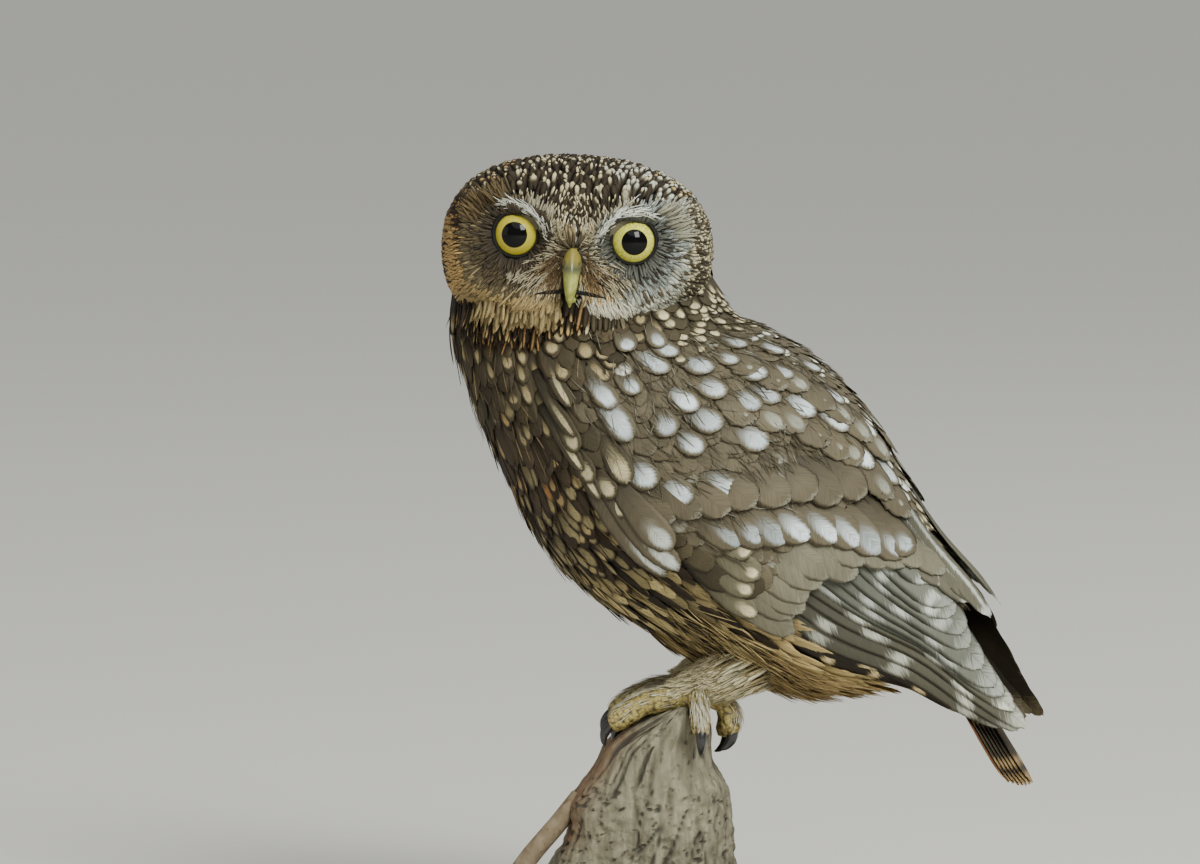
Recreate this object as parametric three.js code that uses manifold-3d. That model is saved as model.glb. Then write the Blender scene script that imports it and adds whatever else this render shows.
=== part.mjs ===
// A life-size little owl, perched on the broken end of a weathered branch that a plain stand holds up.
// Millimetres, +Z up. The origin is the middle of the base's underside. The body points along -X and
// leans forward, the tail points along +X, and the head is turned a quarter turn to the bird's left.
import * as THREE from "three";
import { mergeVertices } from "three/addons/utils/BufferGeometryUtils.js";
import Module from "manifold-3d";

// Driving dimensions
const GAP = 0.3; // left between pieces that touch
const NECK_GAP = 0.7; // between the head and the neck, whose hollow has fewer faces
const VANE_THICKNESS = 0.55;

// The body's envelope, from the neck to the wing tips, as the plumage makes it: the middle of each
// section seen from the side, how far the section's back leans from +X towards +Z, its half height
// and its half width.
const ENVELOPE = [
  { x: -31.5, y: 3, z: 183, lean: 2, height: 36, width: 26 },
  { x: -29.3, y: 2, z: 172, lean: 7, height: 38, width: 29 },
  { x: -24, y: 0.5, z: 160, lean: 18, height: 38.3, width: 35.5 },
  { x: -14.5, y: 0, z: 147.3, lean: 30, height: 41.3, width: 40.5 },
  { x: -4.7, y: 0, z: 135.3, lean: 38, height: 44.7, width: 43 },
  { x: 7.5, y: 0, z: 124.5, lean: 43, height: 44.5, width: 43 },
  { x: 21, y: 0, z: 114, lean: 46, height: 41, width: 40.5 },
  { x: 34.8, y: 0, z: 103, lean: 48, height: 35, width: 35.5 },
  { x: 49, y: 0, z: 92, lean: 50, height: 28.5, width: 28.5 },
  { x: 67, y: 0, z: 83, lean: 52, height: 19.5, width: 21 },
  { x: 80, y: 0, z: 72.5, lean: 54, height: 13.5, width: 15 },
  { x: 91.5, y: 0, z: 63, lean: 56, height: 8.5, width: 10.5 },
  { x: 98, y: 0, z: 57.5, lean: 57, height: 6, width: 8 },
];
const BODY_END = 140; // along the envelope, where the undertail coverts close
const BODY_SHUT = 28; // the length over which they close
const NECK_END = 25; // where the neck gives way to the torso
const WING_POCKET = 3.8; // how deep the folded wings lie in the flanks' plumage

// Head, in its own frame: x across the face, -y out of the face, z up
const HEAD = { x: -30.2, y: -5, z: 190 };
const HEAD_TURN = 9.5; // degrees from facing straight along -Y, towards the tail
const HEAD_ROLL = 3.4; // degrees, the bird's left eye lower
const HEAD_WIDTH = 72.6;
const HEAD_FRONT = 25;
const HEAD_BACK = 31;
const HEAD_TOP = 24.5;
const HEAD_BOTTOM = 27;
const HEAD_SQUARENESS = 2.35;
const EYE_RADIUS = 7.6;
const EYE_APART = 28.9; // between the middles of the eyes
const EYE_RISE = 4.3;
const EYE_DEPTH = 15.4; // from the head's middle forward to the eye's own middle
const EYE_SPLAY = 8; // degrees that each eye looks outward
const LID_RADIUS = 6.4;
const LID_THICKNESS = 0.95;
const GAPE_HALF_WIDTH = 9.5;
const GAPE_DROP = 9.6;
const GAPE_HEIGHT = 0.9;

// Wing feathers
const FLIGHT_FEATHERS = 12; // on each side, from the outermost primary to the innermost tertial
const GREATER_COVERTS = 7;
const MEDIAN_COVERTS = 6;
const ALULA_FEATHERS = 3;
const SCAPULARS = [4, 3];
const RIGHT_WING_RAISE = 2.2; // how far the right wing's tip is held above the left one's

// Tail
const TAIL_FEATHERS = 10;
const TAIL_ROOT = { x: 60.6, z: 100 };
const TAIL_TIP = { x: 93.5, z: 47.5 };
const TAIL_HALF_WIDTH = 12.5;
const TAIL_FEATHER_WIDTH = 7.5;
const TAIL_STEP = 0.85; // from one feather down to the next one
const TAIL_DROOP = 0.05; // how far each feather's outer edge droops, for each millimetre of width

// Feet, perch and stand
const FOOT_SPREAD = 13.5; // from the middle of the body to each foot
const HIP_SPREAD = 14;
const FEET_TURN = 12; // degrees that the perch and feet are turned about the perch's middle
const PERCH_MIDDLE = -2;
const CLAW_LENGTH = 8.5;
const BASE = { length: 132, width: 96, height: 8, corner: 14, bevel: 1.5 };
const ROD_RADIUS = 3;
const ROD_PLACES = [
  { x: -27, y: 0 },
  { x: -3, y: 0 },
];
const PERCH_BOTTOM = 20;
const PERCH_SQUARENESS = 2.6;
const PERCH_TOP = 67.6;

const DEGREE = Math.PI / 180;
const wasm = await Module();
wasm.setup();

// A smooth curve through rows of [place, value, value, ...], as a function of the place.
function smoothRows(rows) {
  const slope = (i, c) => {
    const a = rows[Math.max(i - 1, 0)];
    const b = rows[Math.min(i + 1, rows.length - 1)];
    return (b[c] - a[c]) / (b[0] - a[0]);
  };
  return (place) => {
    let i = 0;
    while (i < rows.length - 2 && place > rows[i + 1][0]) i += 1;
    const [a, b] = [rows[i], rows[i + 1]];
    const step = b[0] - a[0];
    const t = THREE.MathUtils.clamp((place - a[0]) / step, 0, 1);
    return a.slice(1).map((value, k) => {
      const c = k + 1;
      const rise = b[c] - value;
      const bend = (1 - t) * (slope(i, c) * step - rise) + t * (rise - slope(i + 1, c) * step);
      return value + t * rise + t * (1 - t) * bend;
    });
  };
}

const mix = THREE.MathUtils.lerp;
const step = THREE.MathUtils.smoothstep;

// Solids: a closed geometry becomes one, and one becomes a geometry again.
function solidOf(geometry) {
  const bare = new THREE.BufferGeometry();
  bare.setAttribute("position", geometry.getAttribute("position"));
  if (geometry.index) bare.setIndex(geometry.index);
  const merged = mergeVertices(bare, 1e-4);
  const corners = Array.from(merged.index.array);
  const build = (flip) => {
    const kept = [];
    for (let i = 0; i < corners.length; i += 3) {
      const [a, b, c] = corners.slice(i, i + 3);
      if (a !== b && b !== c && c !== a) kept.push(...(flip ? [a, c, b] : [a, b, c]));
    }
    const vertProperties = Float32Array.from(merged.attributes.position.array);
    return new wasm.Manifold(
      new wasm.Mesh({ numProp: 3, vertProperties, triVerts: Uint32Array.from(kept) }),
    );
  };
  const solid = build(false);
  return solid.volume() < 0 ? build(true) : solid;
}

function geometryOf(solid) {
  const made = solid.getMesh();
  const geometry = new THREE.BufferGeometry();
  geometry.setAttribute("position", new THREE.Float32BufferAttribute(made.vertProperties, 3));
  geometry.setIndex(new THREE.BufferAttribute(made.triVerts, 1));
  geometry.computeVertexNormals();
  return geometry;
}

function joined(solids) {
  return solids.reduce((all, one) => all.add(one));
}

function largest(solid) {
  return solid.decompose().reduce((a, b) => (b.volume() > a.volume() ? b : a));
}

// A closed skin over a row of closed sections that all have the same number of points, with a fan of
// faces over each end.
function loft(sections) {
  const count = sections[0].length;
  const ends = [sections[0], sections[sections.length - 1]].map((section) =>
    section.reduce((sum, p) => sum.add(p), new THREE.Vector3()).divideScalar(count),
  );
  const places = [...sections.flat(), ...ends].flatMap((p) => [p.x, p.y, p.z]);
  const last = (sections.length - 1) * count;
  const faces = [];
  for (let k = 0; k < count; k += 1) {
    const next = (k + 1) % count;
    for (let row = 0; row < last; row += count) {
      faces.push(row + k, row + next, row + count + k);
      faces.push(row + next, row + count + next, row + count + k);
    }
    faces.push(last + count, next, k);
    faces.push(last + count + 1, last + k, last + next);
  }
  const geometry = new THREE.BufferGeometry();
  geometry.setAttribute("position", new THREE.Float32BufferAttribute(places, 3));
  geometry.setIndex(faces);
  return solidOf(geometry);
}

// The body's envelope as a smooth curve of the distance along its middle line.
const envelopeRows = ENVELOPE.map((row) => [0, row.x, row.y, row.z, row.lean, row.height, row.width]);
envelopeRows.forEach((row, i) => {
  if (i) {
    const last = envelopeRows[i - 1];
    row[0] = last[0] + Math.hypot(row[1] - last[1], row[3] - last[3]);
  }
});
const envelopeAt = smoothRows(envelopeRows);

// A point on the body: round is 0 at the back's middle, 90 at the flank and 180 at the belly's middle,
// negative on the bird's left. lift is how far it stands off the envelope, and shrink draws it inwards.
function bodyPoint(along, round, lift, shrink = 1) {
  const [x, y, z, lean, height, width] = envelopeAt(along);
  const up = (height + lift) * shrink * Math.cos(round * DEGREE);
  const out = (width + lift) * shrink * Math.sin(round * DEGREE);
  const leaned = lean * DEGREE;
  return new THREE.Vector3(x + up * Math.cos(leaned), y + out, z + up * Math.sin(leaned));
}

// Millimetres of surface for each degree of round.
function roundStep(along, round) {
  const [, , , , height, width] = envelopeAt(along);
  const turn = round * DEGREE;
  return Math.hypot(height * Math.sin(turn), width * Math.cos(turn)) * DEGREE;
}

// How far the bare body lies under the envelope: in the pockets for the wings, and over the rump.
function bodyLift(along, round) {
  const a = Math.abs(round);
  const flank = step(a, 6, 24) * (1 - step(a, 112, 124));
  const wing = WING_POCKET * flank * step(along, 18, 30);
  const rump = 5.5 * (1 - step(a, 95, 130)) * step(along, 112, 138);
  return -wing - rump;
}

function bodySolid(grow) {
  const places = [0, 6, 12, 18, 24, 31, 39, 48, 58, 69, 80, 91, 101, 110, 118, 125, 131, 136, 139];
  const sides = 38;
  const sections = places.map((along) => {
    const shut = THREE.MathUtils.clamp((along - (BODY_END - BODY_SHUT)) / BODY_SHUT, 0, 1);
    const shrink = Math.sqrt(1 - shut * shut) * mix(0.84, 1, Math.min(1, along / 7) ** 0.6);
    return Array.from({ length: sides }, (_, k) => {
      const round = (360 * k) / sides - 180;
      return bodyPoint(along, round, bodyLift(along, round) + grow, shrink);
    });
  });
  return loft(sections);
}

// Head
const headGroup = new THREE.Group();
headGroup.position.set(HEAD.x, HEAD.y, HEAD.z);
headGroup.rotation.set(0, HEAD_ROLL * DEGREE, HEAD_TURN * DEGREE, "ZYX");
headGroup.updateMatrixWorld(true);

const gauss = (distance, radius) => Math.exp(-((distance / radius) ** 2));

// Distance in the face's plane from the line between two points
function lineDistance(x, z, [x0, z0], [x1, z1]) {
  const [dx, dz] = [x1 - x0, z1 - z0];
  const t = THREE.MathUtils.clamp(((x - x0) * dx + (z - z0) * dz) / (dx * dx + dz * dz), 0, 1);
  return Math.hypot(x - x0 - t * dx, z - z0 - t * dz);
}

// How far the face's forms stand out: the sunken discs round the eyes, the brows, the discs' outer
// rims, the bill's root and the chin
function faceRelief(x, z) {
  const side = Math.abs(x);
  const eye = Math.hypot(side - EYE_APART / 2, z - EYE_RISE);
  const disc = -2.6 * gauss(eye, 10);
  const brow = 3.0 * gauss(lineDistance(side, z, [5, 8], [24, 15]), 3.4);
  const rim = 1.6 * gauss(eye - 18.5, 3) * step(side - z, 6, 22);
  const root = 3.2 * gauss(lineDistance(side, z, [0, -4], [0, 6]), 4.2);
  const chin = 2.2 * gauss(lineDistance(side, z, [4, -16.5], [11, -16]), 5);
  return disc + brow + rim + root + chin;
}

// A rounded block with the face's forms on its front. Its rings are closest on the face.
function headSolid(grow, rings = 24) {
  const fronts = [0, 6, 12, 18, 24, 30, 37, 45, 54, 64, 76, 90, 108, 130, 155];
  const turns = [...fronts, 180, ...fronts.slice(1).reverse().map((turn) => 360 - turn)];
  const sections = Array.from({ length: rings }, (_, i) => {
    const tilt = (Math.PI * (i + 0.5)) / rings;
    return turns.map((turn) => {
      const d = new THREE.Vector3(
        Math.sin(tilt) * Math.sin(turn * DEGREE),
        -Math.sin(tilt) * Math.cos(turn * DEGREE),
        Math.cos(tilt),
      );
      const across = Math.abs(d.x) / (HEAD_WIDTH / 2);
      const deep = Math.abs(d.y) / (d.y < 0 ? HEAD_FRONT : HEAD_BACK);
      const high = Math.abs(d.z) / (d.z > 0 ? HEAD_TOP : HEAD_BOTTOM);
      const power = HEAD_SQUARENESS;
      const radius = (across ** power + deep ** power + high ** power) ** (-1 / power);
      const p = d.clone().multiplyScalar(radius);
      p.y -= faceRelief(p.x, p.z) * step(-d.y, 0.1, 0.6);
      return p.addScaledVector(d, grow);
    });
  });
  return loft(sections);
}

function eyeMiddle(side) {
  return new THREE.Vector3((side * EYE_APART) / 2, -EYE_DEPTH, EYE_RISE);
}

function eyeAxis(side) {
  return new THREE.Vector3(side * Math.sin(EYE_SPLAY * DEGREE), -Math.cos(EYE_SPLAY * DEGREE), 0);
}

function eyeSolid(side, grow) {
  const middle = eyeMiddle(side);
  const ball = new THREE.SphereGeometry(EYE_RADIUS + grow, 16, 10);
  return solidOf(ball.translate(middle.x, middle.y, middle.z));
}

function lidSolid(side) {
  const rise = Math.sqrt(EYE_RADIUS ** 2 - LID_RADIUS ** 2);
  const ring = new THREE.TorusGeometry(LID_RADIUS, LID_THICKNESS, 6, 16);
  const turn = new THREE.Quaternion().setFromUnitVectors(new THREE.Vector3(0, 0, 1), eyeAxis(side));
  const place = eyeMiddle(side).addScaledVector(eyeAxis(side), rise);
  return solidOf(ring.applyQuaternion(turn).translate(place.x, place.y, place.z));
}

// A tapered tube along a smooth path. Each station is [share of the path, half width, half depth], and
// across is the direction that the width keeps to.
function taperedTube(points, stations, sides, across) {
  const path = new THREE.CatmullRomCurve3(points);
  const sections = stations.map(([share, wide, deep]) => {
    const middle = path.getPointAt(share);
    const ahead = path.getTangentAt(share);
    const down = new THREE.Vector3().crossVectors(ahead, across).normalize();
    const sideways = new THREE.Vector3().crossVectors(down, ahead).normalize();
    return Array.from({ length: sides }, (_, k) => {
      const turn = (2 * Math.PI * k) / sides;
      return middle
        .clone()
        .addScaledVector(sideways, wide * Math.cos(turn))
        .addScaledVector(down, deep * Math.sin(turn));
    });
  });
  return loft(sections);
}

const ACROSS_FACE = new THREE.Vector3(1, 0, 0);

function billSolid(grow) {
  const path = [
    [0, -20, 1],
    [0, -26, -0.6],
    [0, -29, -4.4],
    [0, -29.2, -9],
    [0, -27.4, -13.8],
  ].map((place) => new THREE.Vector3(...place));
  const stations = [
    [0, 2.6, 2.4],
    [0.25, 2.9, 2.8],
    [0.5, 2.7, 2.7],
    [0.72, 2.1, 2.2],
    [0.88, 1.3, 1.4],
    [0.97, 0.55, 0.6],
    [1, 0.25, 0.25],
  ].map(([share, wide, deep]) => [share, wide + grow, deep + grow]);
  return taperedTube(path, stations, 12, ACROSS_FACE);
}

function nostrilSolid(side) {
  return solidOf(new THREE.SphereGeometry(0.9, 8, 6).translate(side * 2.3, -28.6, -2.6));
}

function lowerBillSolid(grow) {
  const path = [
    [0, -19, -9.6],
    [0, -23, -11.8],
    [0, -26, -13.4],
  ].map((place) => new THREE.Vector3(...place));
  const stations = [
    [0, 2.8, 1.6],
    [0.5, 2.4, 1.4],
    [0.85, 1.4, 1],
    [1, 0.5, 0.4],
  ].map(([share, wide, deep]) => [share, wide + grow, deep + grow]);
  return taperedTube(path, stations, 10, ACROSS_FACE);
}

// The line of the mouth on each side of the bill, which droops to its corners.
function gapeSolid() {
  const shares = [-1, -0.6, -0.2, 0.2, 0.6, 1];
  const sections = shares.map((share) => {
    const x = share * GAPE_HALF_WIDTH;
    const z = -GAPE_DROP - 1.6 * share * share;
    const half = (GAPE_HEIGHT / 2) * (1.15 - 0.7 * Math.abs(share));
    return [
      new THREE.Vector3(x, -34, z + half),
      new THREE.Vector3(x, -34, z - half),
      new THREE.Vector3(x, -18.5, z - half),
      new THREE.Vector3(x, -18.5, z + half),
    ];
  });
  return loft(sections);
}

// One feather vane on the folded wing: a thin bent plate from its root to its rounded tip, with its
// width at shares of its length. from and to are [along, round], lift the height over the envelope at
// root and tip, and tilt how far the edge towards the belly stands above the edge towards the back.
const LONG_VANE = [[0, 0.6], [0.4, 0.95], [0.76, 1], [0.94, 0.68], [1, 0.24]];
const SHORT_VANE = [[0, 0.6], [0.5, 1], [0.86, 0.84], [1, 0.3]];

function vaneSolid({ outline, from, to, width, lift, tilt, side }) {
  const rings = outline.map(([share, wide]) => {
    const along = mix(from[0], to[0], share);
    const round = mix(from[1], to[1], share);
    const perDegree = roundStep(along, round);
    const ahead = new THREE.Vector2(to[0] - from[0], (to[1] - from[1]) * perDegree).normalize();
    const half = (width / 2) * wide;
    const tilted = tilt * wide * mix(0.6, 1, step(share, 0, 0.4));
    const edge = (sign, down) => {
      const edgeAlong = along - ahead.y * sign * half;
      const edgeRound = Math.max(round + (ahead.x * sign * half) / perDegree, 1.5);
      const height = mix(lift[0], lift[1], share) + sign * tilted - down * mix(1, 0.75, share);
      return wingPoint(side, edgeAlong, edgeRound, height);
    };
    return [edge(-1, 0), edge(1, 0), edge(1, VANE_THICKNESS), edge(-1, VANE_THICKNESS)];
  });
  return plateSolid(rings);
}

// Rings of four corners as a closed plate, with its upper and lower faces split alike.
function plateSolid(rings) {
  const places = rings.flat().flatMap((p) => [p.x, p.y, p.z]);
  const faces = [];
  const quad = (a, b, c, d) => faces.push(a, b, c, a, c, d);
  for (let i = 0; i < rings.length - 1; i += 1) {
    const [n, m] = [4 * i, 4 * i + 4];
    quad(n, n + 1, m + 1, m);
    quad(n + 1, n + 2, m + 2, m + 1);
    quad(m + 3, m + 2, n + 2, n + 3);
    quad(n + 3, n, m, m + 3);
  }
  const end = 4 * (rings.length - 1);
  quad(3, 2, 1, 0);
  quad(end, end + 1, end + 2, end + 3);
  const geometry = new THREE.BufferGeometry();
  geometry.setAttribute("position", new THREE.Float32BufferAttribute(places, 3));
  geometry.setIndex(faces);
  return solidOf(geometry);
}

// The height of the wing's own flesh and small coverts over the envelope.
const shellLift = smoothRows([
  [18, -1.8],
  [28, -0.6],
  [66, -0.6],
  [84, -1.4],
  [104, -2.6],
  [124, -3.2],
]);

// The folded wing's lower edge, as round along the body.
const wingEdge = smoothRows([
  [20, 98],
  [26, 104],
  [36, 109],
  [60, 110],
  [90, 110],
  [124, 110],
]);

// A point on a folded wing. The right wing's tip is held a little higher than the left one's.
function wingPoint(side, along, round, lift) {
  const raise = side > 0 ? RIGHT_WING_RAISE * step(along, 90, 165) : 0;
  const leaned = envelopeAt(along)[3] * DEGREE;
  const point = bodyPoint(along, side * round, lift);
  return point.add(new THREE.Vector3(raise * Math.cos(leaned), 0, raise * Math.sin(leaned)));
}

// A tier of vanes: tips and roots are curves of [share, along, round], from the lowest vane to the
// highest one. Each vane is raised enough to clear the one below it, which it overlaps.
function tier({ count, outline = SHORT_VANE, roots, tips, width, tipLift, tilt, sunk = 1, side }) {
  const rootAt = smoothRows(roots);
  const tipAt = smoothRows(tips);
  const widthAt = smoothRows(width);
  let below = null;
  let raised = 0;
  return Array.from({ length: count }, (_, k) => {
    const share = k / (count - 1);
    const [from, to, [wide]] = [rootAt(share), tipAt(share), widthAt(share)];
    const middle = [mix(from[0], to[0], 0.65), mix(from[1], to[1], 0.65)];
    if (below) {
      const apart = Math.abs(below[1] - middle[1]) * roundStep(...middle);
      raised += Math.max(0, VANE_THICKNESS + 0.12 - (2 * tilt * apart) / wide);
    }
    below = middle;
    return vaneSolid({
      outline,
      from,
      to,
      width: wide,
      lift: [shellLift(from[0])[0] - sunk, tipLift + raised],
      tilt,
      side,
    });
  });
}

function flightTier(side) {
  return tier({
    count: FLIGHT_FEATHERS,
    outline: LONG_VANE,
    roots: [[0, 80, 108], [0.5, 84, 80], [1, 98, 35]],
    tips: [
      [0, 154, 116], [0.08, 165, 113], [0.17, 174, 101], [0.25, 178, 82], [0.33, 175, 70],
      [0.42, 169, 64], [0.6, 157, 56], [0.75, 147, 46], [0.9, 137, 37], [1, 129, 31],
    ],
    width: [[0, 7], [0.3, 8], [0.6, 9.5], [1, 10.5]],
    tipLift: -1.9,
    tilt: 1.05,
    sunk: 1.3,
    side,
  });
}

function greaterTier(side) {
  return tier({
    count: GREATER_COVERTS,
    roots: [[0, 80, 106], [0.3, 79, 90], [0.6, 84, 68], [1, 98, 38]],
    tips: [[0, 112, 109], [0.3, 112, 91], [0.6, 116, 66], [1, 128, 36]],
    width: [[0, 9], [1, 10]],
    tipLift: 0.1,
    tilt: 0.7,
    side,
  });
}

function medianTier(side) {
  return tier({
    count: MEDIAN_COVERTS,
    roots: [[0, 64, 103], [0.35, 70, 84], [0.7, 84, 62], [1, 96, 42]],
    tips: [[0, 86, 105], [0.35, 91, 85], [0.7, 106, 61], [1, 118, 39]],
    width: [[0, 9], [1, 10]],
    tipLift: 0.7,
    tilt: 0.65,
    side,
  });
}

function alulaTier(side) {
  return tier({
    count: ALULA_FEATHERS,
    roots: [[0, 44, 108], [1, 50, 101]],
    tips: [[0, 83, 114], [1, 76, 104]],
    width: [[0, 6.5], [1, 8]],
    tipLift: 1.3,
    tilt: 0.5,
    side,
  });
}

function scapularTiers(side) {
  const lower = tier({
    count: SCAPULARS[0],
    roots: [[0, 46, 48], [0.5, 66, 36], [1, 92, 25]],
    tips: [[0, 66, 49], [0.5, 88, 35], [1, 114, 22]],
    width: [[0, 10], [1, 11.5]],
    tipLift: 1.2,
    tilt: 0.6,
    side,
  });
  const upper = tier({
    count: SCAPULARS[1],
    roots: [[0, 38, 30], [0.5, 56, 23], [1, 77, 18]],
    tips: [[0, 58, 31], [0.5, 78, 23], [1, 99, 15]],
    width: [[0, 9.5], [1, 10.5]],
    tipLift: 1.1,
    tilt: 0.5,
    side,
  });
  return [...lower, ...upper];
}

// The wing's flesh under the feathers: a lens-shaped patch that lies in the flank's pocket.
function wingShell(side) {
  const endAt = smoothRows([[0, 104], [0.3, 108], [0.6, 100], [1, 90]]);
  const geometry = new THREE.BoxGeometry(1, 1, 1, 6, 8, 1);
  const places = geometry.getAttribute("position");
  const innermost = -7; // inside the body, which the shell is cut clear of
  for (let i = 0; i < places.count; i += 1) {
    const [a, b] = [places.getX(i) + 0.5, places.getY(i) + 0.5];
    const along = mix(22, endAt(b)[0], a);
    const round = mix(mix(9, 30, step(along, 70, 116)), wingEdge(along)[0], b);
    const rim = Math.min(1, 5 * Math.min(a, 1 - a, b, 1 - b));
    const top = shellLift(along)[0] - 2 * (1 - rim) ** 2;
    const lift = places.getZ(i) > 0 ? top : innermost;
    places.setXYZ(i, ...wingPoint(side, along, round, lift));
  }
  return solidOf(geometry);
}

function wingSolid(side, obstacles) {
  const vanes = [
    ...flightTier(side),
    ...greaterTier(side),
    ...medianTier(side),
    ...alulaTier(side),
    ...scapularTiers(side),
  ];
  let wing = joined([wingShell(side), ...vanes]);
  obstacles.forEach((obstacle) => {
    wing = wing.subtract(obstacle);
  });
  return largest(wing.trimByPlane([0, side, 0], GAP / 2));
}

// Tail: a closed fan that lies in steps, one feather of the middle pair on top
function tailSolid(obstacles) {
  const ahead = new THREE.Vector3(TAIL_TIP.x - TAIL_ROOT.x, 0, TAIL_TIP.z - TAIL_ROOT.z);
  const length = ahead.length();
  ahead.normalize();
  const up = new THREE.Vector3(-ahead.z, 0, ahead.x);
  const place = (out, forward, rise) =>
    new THREE.Vector3(TAIL_ROOT.x, out, TAIL_ROOT.z)
      .addScaledVector(ahead, forward)
      .addScaledVector(up, rise);
  const outline = [[0, 0.5], [0.4, 0.8], [0.8, 1], [0.96, 0.75], [1, 0.3]];
  const vanes = Array.from({ length: TAIL_FEATHERS }, (_, k) => {
    const order = k - (TAIL_FEATHERS - 1) / 2;
    const out = order / ((TAIL_FEATHERS - 1) / 2);
    const reach = length - 3.5 * out * out;
    const below = TAIL_STEP * Math.abs(order - 0.5);
    const rings = outline.map(([share, wide]) => {
      const middle = (TAIL_HALF_WIDTH - TAIL_FEATHER_WIDTH / 2) * out * mix(0.35, 1, share);
      const half = (TAIL_FEATHER_WIDTH / 2) * wide;
      const edge = (sign, down) => {
        const droop = TAIL_DROOP * sign * half * Math.sign(order - 0.5);
        return place(middle + sign * half, share * reach, -below - droop - down);
      };
      return [edge(1, 0), edge(-1, 0), edge(-1, VANE_THICKNESS), edge(1, VANE_THICKNESS)];
    });
    return plateSolid(rings);
  });
  const root = new THREE.SphereGeometry(1, 10, 6).scale(12, 7.5, 4.4);
  root.rotateY(Math.atan2(-ahead.z, ahead.x));
  root.translate(...place(0, 9, -2));
  let tail = joined([solidOf(root), ...vanes]);
  obstacles.forEach((obstacle) => {
    tail = tail.subtract(obstacle);
  });
  return largest(tail);
}

// The perch and the feet that grip it are turned a little about the perch's middle: u runs along the
// perch's slope towards the tail, and v across it.
function turned(u, v, z) {
  const [c, s] = [Math.cos(FEET_TURN * DEGREE), Math.sin(FEET_TURN * DEGREE)];
  return new THREE.Vector3(PERCH_MIDDLE + u * c - v * s, u * s + v * c, z);
}

// Perch: the broken end of a weathered branch, a slope in front and a steep back, as curves of height,
// and the thin side branch on its slope
const perchFront = smoothRows([
  [20, -38.5], [27, -33.5], [33, -31], [39, -31.3], [44, -28.5], [48, -25.5], [52, -23], [56, -21],
  [60, -16.5], [63.5, -11], [66, -6.5], [67.6, -2.5],
]);
const perchBack = smoothRows([
  [20, 14.2], [34, 13.3], [40, 12.8], [44, 12], [48, 10], [51.5, 7.9], [56, 7.4], [61, 7.4], [64.5, 6.6],
  [67.6, 3.4],
]);
const perchSide = smoothRows([[20, 25], [35, 24.5], [50, 23.5], [60, 22.5], [64, 21.5], [67.6, 18]]);
const SIDE_BRANCH = { path: [[-28, -6, 42], [-34, -9, 35], [-41, -11, 27], [-47, -12, 17]], radius: 2.7 };

function perchSolid(grow) {
  const heights = [PERCH_BOTTOM, 26, 32, 38, 43, 48, 52, 56, 60, 63.4, 66, PERCH_TOP];
  const sides = 22;
  const sections = heights.map((z, row) => {
    const [front] = perchFront(z);
    const [back] = perchBack(z);
    const [side] = perchSide(z);
    return Array.from({ length: sides }, (_, k) => {
      const turn = (2 * Math.PI * k) / sides;
      const [c, s] = [Math.cos(turn), Math.sin(turn)];
      const round = Math.abs(c) ** PERCH_SQUARENESS + Math.abs(s) ** PERCH_SQUARENESS;
      const corner = round ** (-1 / PERCH_SQUARENESS);
      const grain = (0.7 * Math.sin(5 * turn + 0.06 * z) + 0.5 * Math.sin(11 * turn - 0.04 * z + 1)) / side;
      const far = corner * (1 + grain * Math.abs(s));
      const along = (front + back) / 2 + ((back - front) / 2) * far * c;
      const top = row === heights.length - 1 ? grow : 0;
      const bottom = row === 0 ? grow : 0;
      return turned(along + grow * c, side * far * s + grow * s, z + top - bottom);
    });
  });
  const stations = [0, 0.5, 1].map((share) => [share, SIDE_BRANCH.radius + grow, SIDE_BRANCH.radius + grow]);
  const path = SIDE_BRANCH.path.map((place) => turned(...place));
  const sideBranch = taperedTube(path, stations, 10, new THREE.Vector3(0, 1, 0));
  return loft(sections).add(sideBranch).trimByPlane([0, 0, 1], PERCH_BOTTOM - grow);
}

// Legs: the feathered thigh and shank, from the belly to the foot
function legSolid(side, grow) {
  const path = [
    new THREE.Vector3(30, side * HIP_SPREAD, 87),
    new THREE.Vector3(17, side * HIP_SPREAD, 79),
    turned(7.5, side * HIP_SPREAD, 74.6),
    turned(-1, side * FOOT_SPREAD, 71.8),
  ];
  const stations = [
    [0, 11, 12], [0.25, 9.5, 10.5], [0.5, 7.6, 8], [0.75, 5.8, 6], [0.93, 4.6, 4.4], [1, 3.4, 3],
  ].map(([share, wide, deep]) => [share, wide + grow, deep + grow]);
  return taperedTube(path, stations, 12, new THREE.Vector3(0, 1, 0));
}

// Toes as paths from the foot's middle, [along the slope, towards the other foot, up], and their radius.
// The right foot mirrors the left one, with its rear toe reaching further down.
const TOES = {
  front: { reach: [[-3, 0, 0], [-12, 0.6, -1.8], [-19, 0.8, -5.8], [-21.6, 0.9, -9]], thick: 3.5 },
  inner: { reach: [[-2, 3, 0], [-10, 6.2, -2], [-16.5, 8, -6], [-19, 8.6, -10]], thick: 3.1 },
  outer: { reach: [[1, -1, 0], [1.6, -7.2, -0.9], [2, -11.8, -5], [2.1, -12.6, -10]], thick: 3 },
  rear: { reach: [[2, 0.4, 0], [7.4, 0.6, -1.2], [10.4, 0.7, -5.6], [9.6, 0.8, -10.6]], thick: 3.1 },
};
const RIGHT_REAR_REACH = [[2, 0.4, 0], [7.2, 0.6, -2], [9.6, 0.7, -8], [8.4, 0.8, -14]];
const FOOT_MIDDLE = { u: 2.4, z: 70.4 };

function toesOf(side) {
  return Object.entries(TOES).map(([name, toe]) => ({
    name,
    thick: toe.thick,
    reach: side > 0 && name === "rear" ? RIGHT_REAR_REACH : toe.reach,
  }));
}

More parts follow.
